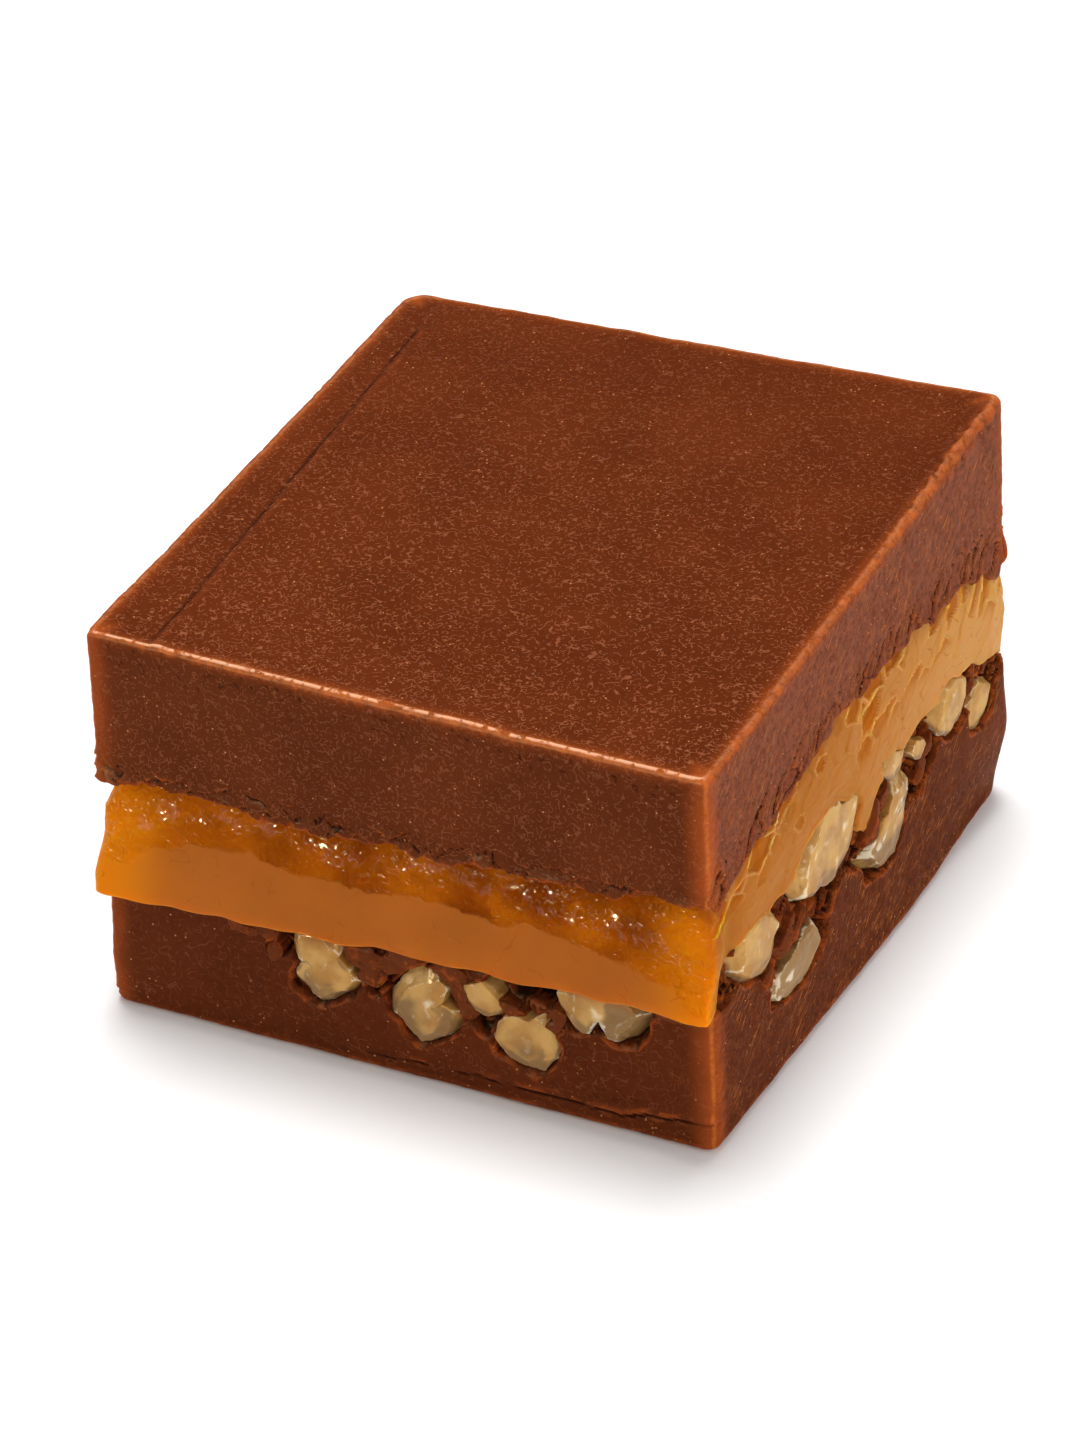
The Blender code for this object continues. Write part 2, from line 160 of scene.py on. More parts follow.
# Signed distance to a closed outline, negative inside
def outlineDistance(a, z, outline):
    points = np.array(outline, float)
    ends = np.roll(points, -1, axis=0)
    away = np.full(len(a), 1e9)
    inside = np.zeros(len(a), bool)
    for (x0, y0), (x1, y1) in zip(points, ends):
        dx, dy = x1 - x0, y1 - y0
        t = np.clip(((a - x0) * dx + (z - y0) * dy) / (dx * dx + dy * dy), 0, 1)
        away = np.minimum(away, np.hypot(a - x0 - t * dx, z - y0 - t * dy))
        if y0 != y1:
            inside ^= ((y0 > z) != (y1 > z)) & (a < dx * (z - y0) / dy + x0)
    return np.where(inside, -away, away)


def lineHeight(a, line):
    return np.interp(a, [p[0] for p in line], [p[1] for p in line])


# The square's own form: seams between the layers, leaning corners, rounded rims
def throughThree(low, middle, high, t):
    return low * (2 * t - 1) * (t - 1) + 4 * middle * t * (1 - t) + high * t * (2 * t - 1)


def seamCurve(name, x, y):
    u, v = x / square["width"] + 0.5, y / square["depth"] + 0.5
    return throughThree(*[throughThree(*row, u) for row in seams[name][0]], v)


def seamHeight(name, x, y):
    table, ragged = seams[name]
    u, v = x / square["width"] + 0.5, y / square["depth"] + 0.5
    curve = seamCurve(name, x, y)
    if name == "low":
        curve = curve + seamLift(x, y)
    if ragged:
        flat = np.stack([x, y, np.full_like(x, 3 * ragged)], -1)
        curve = curve + ragged * waves(flat, 3.4, 7)
    tilt = (table[1][2] - table[1][0]) * (u - 0.5) + (table[2][1] - table[0][1]) * (v - 0.5)
    out = np.maximum(abs(2 * u - 1), abs(2 * v - 1))
    share = np.clip((out - square["plate"]) / (1 - square["plate"]), 0, 1)
    return table[1][1] + tilt + (curve - table[1][1] - tilt) * share


# How much higher the seam runs where the knife tore the caramel's foot up along the right face
def seamLift(x, y):
    plain = seamCurve("low", np.full_like(y, halfWide), y)
    near = 1 - step(0, 3.0, halfWide - x)
    return near * (lineHeight(y, footLine) - plain)


def leaned(points):
    u = (points[:, 0] / square["width"] + 0.5)[:, None]
    v = (points[:, 1] / square["depth"] + 0.5)[:, None]
    t = (points[:, 2] / square["height"])[:, None]
    foot, head = (
        mix(mix(np.array(c[0]), np.array(c[1]), u), mix(np.array(c[3]), np.array(c[2]), u), v)
        for c in (square["footLean"], square["headLean"])
    )
    moved = points.copy()
    moved[:, :2] += mix(foot, head, t) + square["middle"]
    return moved


def roundCorners(x, y, radii):
    radius = np.where(x > 0, np.where(y > 0, radii[2], radii[1]), np.where(y > 0, radii[3], radii[0]))
    dx = abs(x) - (halfWide - radius)
    dy = abs(y) - (halfDeep - radius)
    turn = (dx > 0) & (dy > 0)
    pull = np.where(turn, np.maximum(dx, dy) / np.maximum(np.hypot(dx, dy), 1e-9), 1)
    newX = np.copysign(halfWide - radius + dx * pull, x)
    newY = np.copysign(halfDeep - radius + dy * pull, y)
    return np.where(turn, newX, x), np.where(turn, newY, y)


def rimInset(distance, radius):
    inside = np.clip(radius - distance, 0, radius)
    return radius - np.sqrt(radius**2 - inside**2)


# Marks along one direction from 0 to 1, close together within `edge` of each end
def marksAlong(length, pitch, edge, finePitch):
    fine = round(edge / finePitch)
    inner = round((length - 2 * edge) / pitch)
    ends = [edge * i / fine for i in range(fine)]
    middle = [edge + (length - 2 * edge) * i / inner for i in range(inner)]
    marks = ends + middle + [length - e for e in reversed(ends)]
    marks.insert(-fine, length - edge)
    return [m / length for m in marks]


# A closed unit block whose sides are a fine grid. Its underside is a ring of faces round one flat
# plate, and so is its top unless griddedTop gives it the grid too.
def unitBlock(marksX, marksY, marksZ, griddedTop):
    bm = bmesh.new()
    bmesh.ops.create_cube(bm, size=1)
    bm.normal_update()
    hidden = [f for f in bm.faces if f.normal.z < -0.5 or (f.normal.z > 0.5 and not griddedTop)]
    bmesh.ops.delete(bm, geom=hidden, context="FACES_ONLY")
    lines = (marksX, marksY, marksZ)
    for axis in (2, 0, 1):
        edges = [e for e in bm.edges if abs((e.verts[0].co - e.verts[1].co)[axis]) > tiny]
        bmesh.ops.subdivide_edges(bm, edges=edges, cuts=len(lines[axis]) - 2, use_grid_fill=True)
    for vert in bm.verts:
        for axis in range(3):
            marks = lines[axis]
            vert.co[axis] = marks[round((vert.co[axis] + 0.5) * (len(marks) - 1))]
    for height in (0, 1):
        rim = [e for e in bm.edges if e.is_boundary and abs(e.verts[0].co.z - height) < tiny]
        if rim:
            cap = bmesh.ops.contextual_create(bm, geom=rim)["faces"]
            bmesh.ops.inset_individual(bm, faces=cap, thickness=0)
            toMiddle = Matrix.Translation((-0.5, -0.5, -height))
            plate = square["plate"]
            bmesh.ops.scale(bm, vec=(plate, plate, 1), space=toMiddle, verts=list(cap[0].verts))
    bmesh.ops.recalc_face_normals(bm, faces=bm.faces)
    return bm


# Cuts the grid finer where finer(u, v, t) says so
def refine(bm, finer):
    chosen = [e for e in bm.edges if all(finer(*v.co) for v in e.verts)]
    bmesh.ops.subdivide_edges(bm, edges=chosen, cuts=1, use_grid_fill=True)


def readPoints(mesh):
    flat = np.empty(len(mesh.vertices) * 3)
    mesh.vertices.foreach_get("co", flat)
    return flat.reshape(-1, 3)


def writePoints(mesh, points):
    mesh.vertices.foreach_set("co", (points * mm).ravel())
    mesh.update()


def store(mesh, name, values):
    mesh.attributes.new(name, "FLOAT", "POINT").data.foreach_set("value", np.asarray(values, float))


# How far each point stands out of its surroundings, in millimetres: edges and crumbs are positive,
# pits and cracks negative. More rounds look at a wider neighbourhood.
def standOut(mesh, rounds):
    points = readPoints(mesh) / mm
    ends = np.empty(len(mesh.edges) * 2, int)
    mesh.edges.foreach_get("vertices", ends)
    one, other = ends.reshape(-1, 2).T
    count = np.bincount(ends, minlength=len(points))
    normals = np.empty(len(points) * 3)
    mesh.vertices.foreach_get("normal", normals)
    smooth = points.copy()
    for _ in range(rounds):
        total = np.stack([
            np.bincount(one, smooth[other, k], len(points)) + np.bincount(other, smooth[one, k], len(points))
            for k in range(3)
        ], -1)
        smooth = mix(smooth, total / count[:, None], 0.7)
    return ((points - smooth) * normals.reshape(-1, 3)).sum(-1)


def newObject(name, bm, material, replaced=()):
    mesh = bpy.data.meshes.new(name)
    bm.to_mesh(mesh)
    bm.free()
    mesh.shade_smooth()
    mesh.materials.append(material)
    made = bpy.data.objects.new(name, mesh)
    bpy.context.scene.collection.objects.link(made)
    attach(made, "root")
    if replaced:
        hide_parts(*replaced)
    return made


# Bends a unit block into one layer of the square. relief(side, a, z, t, points) gives how far each
# point of a side moves outwards and upwards. The layer's materials read where a point is from what
# is stored here: how far from an upright and a level edge, on a cut side, sunk, on top, near the light.
def shapeLayer(mesh, low, high, form, relief, topRelief=None):
    u, v, t = readPoints(mesh).T
    x0, y0 = (u - 0.5) * square["width"], (v - 0.5) * square["depth"]
    x, y = roundCorners(x0, y0, form["radii"])
    rims = form["rims"]
    bottom, top = seamHeight(low, x, y), seamHeight(high, x, y) + form["lift"]
    thick = top - bottom
    inset = rimInset(t * thick, rims[0]) + rimInset((1 - t) * thick, rims[1])
    points = np.stack([
        x * (1 - 2 * inset / square["width"]), y * (1 - 2 * inset / square["depth"]), bottom + t * thick,
    ], -1)
    onEdge = np.maximum(abs(2 * u - 1), abs(2 * v - 1)) > 1 - tiny
    toFront, toRight, toBack, toLeft = halfDeep + y0, halfWide - x0, halfDeep - y0, halfWide + x0
    distances = {"front": (toFront, x0), "right": (toRight, y0), "back": (toBack, x0), "left": (toLeft, y0)}
    moved = points.copy()
    raised, shares, sunk = np.zeros(len(t)), np.ones(len(t)) * tiny, np.zeros(len(t))
    for side, (distance, along) in distances.items():
        near = onEdge & (distance < square["cornerFade"])
        share = 1 - step(0, square["cornerFade"], distance[near])
        push, rise = relief(side, along[near], points[near, 2], t[near], points[near])
        moved[near] += (share * push)[:, None] * outwards[side]
        sunk[near] -= share * push
        raised[near] += share * rise
        shares[near] += share
    moved[:, 2] += raised / np.maximum(shares, 1)
    onTop = (t > 1 - tiny) & bool(topRelief)
    if topRelief:
        moved[onTop, 2] += topRelief(points[onTop])
    writePoints(mesh, leaned(moved))
    dx, dy = halfWide - abs(x0), halfDeep - abs(y0)
    fromSeam = top - points[:, 2] if topRelief else points[:, 2] - bottom
    nearCut = np.where(t < 1 - tiny, np.minimum(toRight, toBack), square["depth"])
    store(mesh, "upright", np.maximum(dx, dy))
    store(mesh, "level", np.maximum(fromSeam, np.minimum(dx, dy)))
    store(mesh, "cut", 1 - step(0.1, 0.4, nearCut))
    store(mesh, "sunk", sunk)
    store(mesh, "crown", onTop)
    # 1 on the front, where the painted edge glow and rim highlight are brightest
    store(mesh, "lit", step(-0.8, 0.8, np.minimum(np.minimum(toRight, toBack), toLeft) - toFront))
    return t


# Coordinates stretched along the way the knife dragged, for scales and streaks on a cut face
def dragged(side, a, z, long, wide, seed=0):
    angle = dragAngle.get(side, 0)
    along = a * math.cos(angle) + z * math.sin(angle)
    across = -a * math.sin(angle) + z * math.cos(angle)
    return np.stack([along / long, across / wide, np.full_like(a, 0.37 + 3.1 * seed)], -1)


# Overlapping scales: each rises along the drag and ends in a torn step
def scales(side, a, z, long, wide, seed):
    crack, own, offset = plates(dragged(side, a, z, long, wide, seed), 1.0, seed)
    return own * 0.55 + 0.45 * np.clip(0.5 - offset[:, 0], 0, 1), crack


# Walnut pieces: the outline that each shows in its cut face, read from the picture for the front
# and the right and made up in the same way for the two hidden faces
walnuts = {
    "front": [
        [(-10.0, 10.2), (-9.1, 11.3), (-7.7, 11.1), (-5.2, 11.7), (-4.9, 10.7), (-5.3, 9.6), (-4.2, 8.7),
         (-3.5, 7.4), (-4.2, 6.4), (-5.7, 5.6), (-6.9, 4.9), (-8.3, 5.1), (-9.4, 6.2), (-9.4, 7.1),
         (-8.4, 8.6), (-9.6, 8.9)],
        [(-1.6, 7.2), (0.8, 10.2), (3.0, 10.3), (3.8, 9.1), (3.5, 7.9), (4.9, 7.2), (4.7, 5.8), (2.9, 4.3),
         (1.4, 3.6), (0.0, 4.4), (-0.2, 5.3), (-1.2, 5.9)],
        [(8.0, 7.3), (7.4, 5.6), (7.8, 4.5), (9.2, 4.1), (10.3, 3.5), (11.7, 4.0), (12.8, 5.4), (13.1, 6.5),
         (12.4, 8.3), (11.9, 9.1), (10.6, 8.4), (8.9, 8.6)],
        [(12.8, 12.4), (15.0, 12.6), (17.0, 12.7), (19.3, 12.4), (20.2, 11.1), (20.1, 9.7), (19.2, 8.5),
         (17.8, 8.1), (16.9, 8.7), (16.5, 9.9), (15.9, 9.9), (15.6, 8.7), (14.3, 8.3), (13.1, 9.4),
         (12.5, 10.9)],
        [(5.3, 10.2), (6.9, 10.8), (8.3, 9.4), (8.9, 8.3), (8.3, 7.6), (7.3, 7.8), (6.2, 8.1), (5.5, 9.0)],
    ],
    "right": [
        [(-17.9, 16.3), (-15.3, 15.3), (-14.6, 14.0), (-16.3, 13.4), (-16.8, 11.6), (-19.1, 11.5),
         (-21.0, 12.2), (-22.4, 13.6), (-22.3, 15.2), (-20.6, 16.7)],
        [(-17.4, 7.4), (-17.0, 8.8), (-14.0, 9.5), (-11.0, 10.2), (-8.7, 10.0), (-7.7, 9.0), (-8.2, 7.5),
         (-10.0, 6.9), (-11.9, 6.3), (-14.8, 6.7)],
        [(-13.0, 15.9), (-11.7, 17.8), (-9.3, 18.6), (-7.0, 18.5), (-4.7, 17.7), (-2.0, 16.6), (-1.6, 15.7),
         (-2.6, 14.0), (-3.1, 12.1), (-5.6, 11.8), (-8.5, 12.6), (-10.3, 12.5), (-12.0, 13.2),
         (-12.9, 14.6)],
        [(-1.5, 10.1), (0.5, 10.5), (2.3, 11.1), (3.6, 12.1), (5.6, 13.6), (8.1, 13.3), (8.4, 11.6),
         (6.4, 11.0), (6.2, 9.6), (4.7, 8.2), (3.4, 7.2), (1.0, 7.5), (-0.9, 8.0)],
        [(2.4, 15.3), (2.3, 16.8), (4.4, 16.5), (6.6, 15.4), (5.8, 14.5), (4.2, 14.1)],
        [(12.3, 16.0), (14.3, 16.8), (17.2, 15.9), (18.1, 15.0), (17.8, 13.3), (17.1, 12.4), (15.8, 11.7),
         (13.8, 12.1), (12.2, 13.7)],
        [(17.7, 11.9), (19.1, 13.0), (21.1, 13.3), (22.7, 12.3), (22.4, 11.1), (21.4, 10.1), (19.7, 9.6),
         (17.7, 10.3)],
        [(7.9, 14.2), (8.6, 14.9), (10.2, 14.3), (10.5, 13.2), (9.2, 13.0), (8.2, 13.5)],
    ],
    "back": [
        [(9.6, 10.4), (12.0, 11.4), (15.0, 12.0), (16.6, 10.2), (16.0, 8.2), (13.6, 6.8), (11.2, 6.9),
         (10.0, 8.4)],
        [(1.8, 12.6), (4.4, 14.2), (7.4, 13.4), (7.8, 11.4), (5.2, 10.0), (2.4, 10.6)],
        [(-5.6, 8.6), (-3.6, 10.0), (-1.0, 10.8), (0.2, 8.8), (-1.2, 6.2), (-3.4, 5.0), (-5.4, 6.2)],
        [(-17.4, 10.0), (-16.2, 12.0), (-13.0, 12.6), (-9.8, 12.4), (-9.6, 10.4), (-12.4, 9.2),
         (-15.4, 8.4)],
    ],
    "left": [
        [(12.2, 10.2), (14.4, 11.8), (17.4, 11.4), (18.2, 9.2), (16.2, 7.2), (13.2, 7.4)],
        [(2.0, 9.4), (4.6, 10.2), (7.4, 9.0), (9.8, 7.2), (8.6, 5.4), (5.4, 5.8), (2.8, 7.0)],
        [(-7.0, 9.2), (-5.4, 11.6), (-2.6, 12.2), (-1.8, 10.0), (-3.6, 7.6), (-6.2, 7.6)],
        [(-15.8, 7.4), (-13.6, 9.2), (-10.8, 10.4), (-9.4, 8.6), (-10.4, 6.0), (-13.4, 4.9), (-15.4, 5.6)],
    ],
}

# Where fudge is torn between the nuts: everything above each line, up to the caramel
tearLines = {
    "front": [(-17.0, 13.0), (-15.2, 11.6), (-13.5, 11.0), (-11.6, 10.2), (-10.2, 9.2), (-9.0, 8.2),
              (-4.5, 7.4), (-2.9, 7.1), (-1.4, 7.2), (0.0, 6.6), (4.6, 6.6), (5.8, 6.4), (7.2, 6.6),
              (12.0, 7.0), (13.2, 7.9), (14.0, 8.8), (16.0, 9.6), (19.5, 9.9), (20.8, 11.3), (23.6, 12.0),
              (26.0, 13.0)],
    "right": [(-27.0, 12.8), (-24.8, 12.2), (-22.6, 12.4), (-20.0, 12.5), (-18.0, 9.8), (-17.0, 8.6),
              (-12.0, 8.4), (-8.0, 8.8), (-6.9, 9.4), (-5.0, 11.3), (-2.6, 10.4), (-1.2, 9.2), (1.5, 9.0),
              (4.0, 9.2), (6.4, 10.0), (8.6, 10.4), (10.6, 10.9), (12.4, 12.6), (14.0, 12.9), (17.0, 12.8),
              (18.0, 11.8), (20.0, 11.4), (22.6, 11.6), (24.0, 12.2), (26.5, 12.8)],
    "back": [(-26.0, 13.0), (-18.4, 10.4), (-16.0, 7.9), (-12.0, 8.6), (-8.0, 9.8), (-5.8, 5.8),
             (-3.2, 4.5), (-0.6, 6.0), (1.6, 9.2), (5.2, 9.4), (8.6, 9.8), (10.4, 6.6), (13.8, 6.3),
             (17.0, 9.0), (26.0, 13.2)],
    "left": [(-27.0, 12.5), (-18.0, 9.4), (-15.8, 5.4), (-13.2, 4.4), (-9.6, 6.2), (-6.6, 7.0), (-3.4, 7.0),
             (1.2, 8.2), (3.0, 6.0), (7.0, 5.0), (10.4, 6.4), (13.4, 6.8), (17.0, 7.2), (19.6, 10.4),
             (27.0, 12.6)],
}

# Hollows that the knife tore out: middle along and up, half sizes, depth
hollows = {
    "front": [(10.0, 10.9, 2.8, 1.2, 3.4), (6.7, 6.9, 0.8, 1.0, 1.2), (-10.6, 9.0, 0.8, 0.6, 1.4),
              (16.2, 9.4, 0.5, 0.6, 1.2), (-2.4, 7.2, 0.7, 0.4, 1.2)],
    "right": [(10.9, 14.8, 0.9, 1.0, 1.8), (-7.6, 11.6, 1.6, 0.6, 1.2), (8.8, 10.6, 0.8, 0.6, 1.2)],
    "back": [(-6.8, 10.6, 1.6, 0.8, 2.0), (8.8, 11.4, 1.0, 0.8, 1.6)],
    "left": [(0.4, 9.8, 1.4, 0.9, 2.0), (10.8, 9.2, 1.2, 0.8, 1.8)],
}

# Where the caramel's foot runs along the right face
footLine = [(-27.0, 12.6), (-24.6, 12.8), (-22.6, 15.6), (-20.5, 16.4), (-13.0, 16.2), (-5.6, 18.0),
            (-3.2, 16.8), (-2.2, 13.4), (-0.8, 12.6), (1.6, 14.9), (8.6, 16.0), (13.2, 16.2), (18.8, 15.7),
            (24.4, 13.3), (27.8, 11.2)]
crackLine = [(-6.0, 1.2), (1.6, 1.9), (10.4, 2.0), (13.7, 1.8), (18.0, 1.9), (21.8, 2.7), (26.0, 2.9)]
glossLine = [(-27.0, 13.5), (-22.5, 14.0), (-20.6, 15.6), (-15.7, 17.0), (-12.3, 17.0), (-7.3, 16.3),
             (-3.1, 16.5), (1.1, 17.0), (4.9, 17.1), (9.2, 16.7), (13.5, 16.7), (17.1, 15.9), (19.8, 15.8),
             (22.4, 15.3), (23.6, 13.6), (26.0, 12.5)]


# The reliefs from here on add up patterns in millimetres. A pattern is asked for by its size and a
# seed, which only keeps it apart from the others, and is multiplied by how far it moves the surface.


# How far a surface sinks where the nuts of this side sit in it, and where a gap runs round them
def nutHollow(side, a, z, gap):
    wobble = onFace(a, z)
    aW, zW = a + 0.22 * waves(wobble, 1.1, 21), z + 0.22 * waves(wobble, 1.1, 22)
    sink = np.zeros_like(a)
    lip = np.zeros_like(a)
    for index, (nutSide, outline) in numbered(walnuts):
        if nutSide != side:
            continue
        middle = np.mean(outline, axis=0)
        far = np.hypot(a - middle[0], z - middle[1]) < 8
        d = outlineDistance(aW[far], zW[far], outline)
        under = step(-0.2, 0.9, (middle[1] - z[far]) / 2.5 + 0.25 * (a[far] - middle[0]) / 2.5)
        width = gap * (-0.35 + 1.25 * under * (0.75 + 0.5 * waves(wobble[far], 2.0, 30 + index)))
        edge = 1 - step(width, width + 0.12, d)
        sink[far] = np.maximum(sink[far], edge * mix(0.8, 2.4, 1 - step(-0.5, 0.0, d)))
        lip[far] = np.maximum(lip[far], hump(d, width + 0.26, 0.12))
    return sink, lip * (sink < 0.05)


def hollowDepth(side, a, z):
    wobble = onFace(a, z)
    aW, zW = a + 0.35 * waves(wobble, 1.2, 23), z + 0.35 * waves(wobble, 1.2, 24)
    deep = np.zeros_like(a)
    for along, up, long, high, depth in hollows[side]:
        away = np.hypot((aW - along) / long, (zW - up) / high)
        deep = np.maximum(deep, depth * (1 - step(0.75, 1.15, away)))
    return deep


# Lower slab. Every layer has the grid of its sides (height, distance of the marks, how far from its
# rims they are closer, and how close), its corners' radii in the order of the leans, its rims' radii
# at the foot and head, and how far its head stands above the seam.
lowerSlab = {
    "grid": (12.5, 0.26, 1.0, 0.2),
    "radii": (1.1, 0.9, 2.6, 2.2),
    "rims": (0.8, 0.4),
    "lift": 0.35,
    "tearDepth": 1.5,
    "plateSize": 2.3,
    "nutGap": 0.13,
}


def tearShare(side, a, z, points):
    line = lineHeight(a, tearLines[side]) + 0.45 * waves(points, 1.5, 40) + 0.2 * waves(points, 0.6, 41)
    return step(0, 0.5, z - line), z - line


def lowerRelief(side, a, z, t, points):
    torn, above = tearShare(side, a, z, points)
    if side in dragAngle:
        height, crack = scales(side, a, z, 3.4, 1.5, 51)
        fine, _ = scales(side, a, z, 1.4, 0.6, 52)
        plateHeight = 0.35 + 0.6 * height + 0.12 * fine - 0.30 * onCrack(crack)
    else:
        bent = swayed(points, 0.5, 1.6)
        crack, own, offset = plates(bent * (1, 1, 1.35), lowerSlab["plateSize"], 53)
        crumb, small, _ = plates(bent, 0.9, 54)
        plateHeight = np.clip(own * 0.9 + 0.45 * offset[:, 0] - 0.35 * offset[:, 2] + 0.18 * small, 0, 1.3)
        plateHeight -= 0.35 * onCrack(crack) + 0.08 * onCrack(crumb, 0.10)
    push = 0.2 * hump(t, 0.35, 0.3) + 0.1 * waves(points, 9, 1) + 0.05 * waves(points, 2.4, 2)
    push += 0.03 * roughness(points, 0.8, 3)
    push -= torn * lowerSlab["tearDepth"] * (1.15 - plateHeight)
    push += 0.04 * hump(above, -0.1, 0.10) * step(-0.1, 0.4, waves(points, 1.0, 42))
    if side in ("front", "left"):
        low = z - (lineHeight(a, crackLine) + 0.25 * waves(points, 2.2, 43))
        broken = step(-0.25, 0.15, waves(points, 3.0, 44))
        if side == "front":
            broken = broken * step(-6, 2, a) * 0.6 + 0.6 * step(9, 14, a)
        overhang = 0.16 * step(-0.05, 0.05, low) * (1 - step(0.3, 1.4, low))
        push += broken * (overhang - 0.3 * hump(low, -0.1, 0.13))
    if side == "right":
        push += mix(-0.8, 0.4, step(0.05, 0.6, t)) * step(6, 23, a)
    sink, lip = nutHollow(side, a, z, lowerSlab["nutGap"])
    sink = np.maximum(sink, hollowDepth(side, a, z))
    push += 0.05 * lip - sink
    return push, 0.12 * torn * waves(points, 1.0, 45)


# Caramel
caramelBand = {
    "grid": (10.5, 0.22, 0.9, 0.15),
    "radii": (1.2, 0.25, 1.4, 1.8),
    "rims": (0.15, 0.6),
    "lift": 0.5,
    "lip": {"front": 0.7, "left": 0.8},
    "crestAbove": 2.6,  # how far above the edge of the gloss its wettest ripples stand
    "edges": (25, 26),  # where its sides stand, to left and right and to front and back
}


def glossShare(side, a, z, points):
    line = lineHeight(a, glossLine) if side == "front" else 16.2 + 0.03 * a
    line = line + 0.55 * waves(points, 2.6, 60) + 0.30 * waves(points, 0.9, 61) + 0.1 * waves(points, 0.4, 59)
    return step(-0.04, 0.10, z - line), z - line


# Where the wettest ripples stand, along the crest of the glossy part
def crestShare(above, points):
    return hump(above, caramelBand["crestAbove"], 0.9) * step(-0.5, 0.0, waves(points, 3.4, 69))


# Where the knife pulled shards off the smeared face: how much amber shows, and the shards' thin edges,
# painted paler as a highlight
def shardShares(side, a, z, t):
    bend = onFace(a, z)
    place = dragged(side, a + 0.3 * waves(bend, 1.5, 76), z + 0.3 * waves(bend, 1.5, 77), 3.6, 1.7, 75)
    crack, own, _ = plates(place, 1.0, 75)
    reach = 0.42 + 0.25 * waves(bend, 4.0, 78)
    zone = step(reach, reach + 0.25, t)
    chosen = step(0.55, 0.57, own) * zone
    return chosen * step(0.03, 0.07, crack), chosen * (1 - step(0.03, 0.07, crack))


def caramelRelief(side, a, z, t, points):
    ripple = 0.14 * waves(points * (1, 1, 2), 4, 5)
    sink, lip = nutHollow(side, a, z, 0.12)
    if side in ("front", "left"):
        proud = caramelBand["lip"][side] + (0.4 * hump(a, 24, 4) if side == "front" else 0)
        flare = proud * (1 - step(0.03, 0.55, t)) - 1.3 * step(0.5, 1.0, t)
        gloss, above = glossShare(side, a, z, points)
        swell = 0.14 * waves(points * (0.7, 0.7, 1.2), 2.0, 62)
        wet = gloss * (swell + 0.03 * roughness(points, 0.9, 63))
        wrinkle = hump(waves(points, 0.9, 64), 0, 0.24) + 0.7 * hump(waves(points, 0.55, 65), 0, 0.3)
        crest = crestShare(above, points) * (0.075 * wrinkle + 0.04) + 0.01 * gloss * wrinkle
        skin = 0.10 * (1 - gloss) + 0.02 * waves(points, 1.2, 66)
        wavyLip = 0.16 * waves(points, 2.8, 67) * (1 - step(0, 0.25, t))
        rise = (0.25 * waves(points, 3.0, 68) - 0.5 * hump(a, 25.6, 0.9)) * (1 - step(0, 0.2, t))
        return flare + ripple + wet + crest + skin + wavyLip, rise
    height, crack = scales(side, a, z, 4.6, 1.7, 70)
    smear = 0.14 * height - 0.05 * onCrack(crack) + 0.015 * waves(dragged(side, a, z, 2.0, 0.35), 1, 71)
    torn = step(0.15, 0.5, waves(dragged(side, a, z, 1.6, 1.0), 1.6, 72)) * step(0.55, 0.85, t)
    patch, rims = shardShares(side, a, z, t)
    bulge = 0.35 * hump(t, 0.45, 0.3) - 0.5 * step(0.78, 1, t) - 0.25 * torn - 0.22 * patch + 0.05 * rims
    if side == "right":
        bulge = bulge - 0.9 * hump(a, -23.2, 1.5) * (1 - step(0.4, 0.9, t)) - 0.5 * step(22, 26, a)
    return bulge + smear + 0.08 * lip - sink, 0.3 * waves(points, 1.6, 73) * (1 - step(0, 0.2, t))


# Upper slab
upperSlab = {
    "grid": (12.0, 0.26, 1.5, 0.2),
    "radii": (0.6, 0.5, 1.1, 1.8),
    "rims": (0.35, 0.45),
    "lift": 0,
    "score": ((-20.0, -27.5), (-22.0, 21.5)),
    "scoreDepth": 0.16,
    "scoreWidth": 0.24,
}


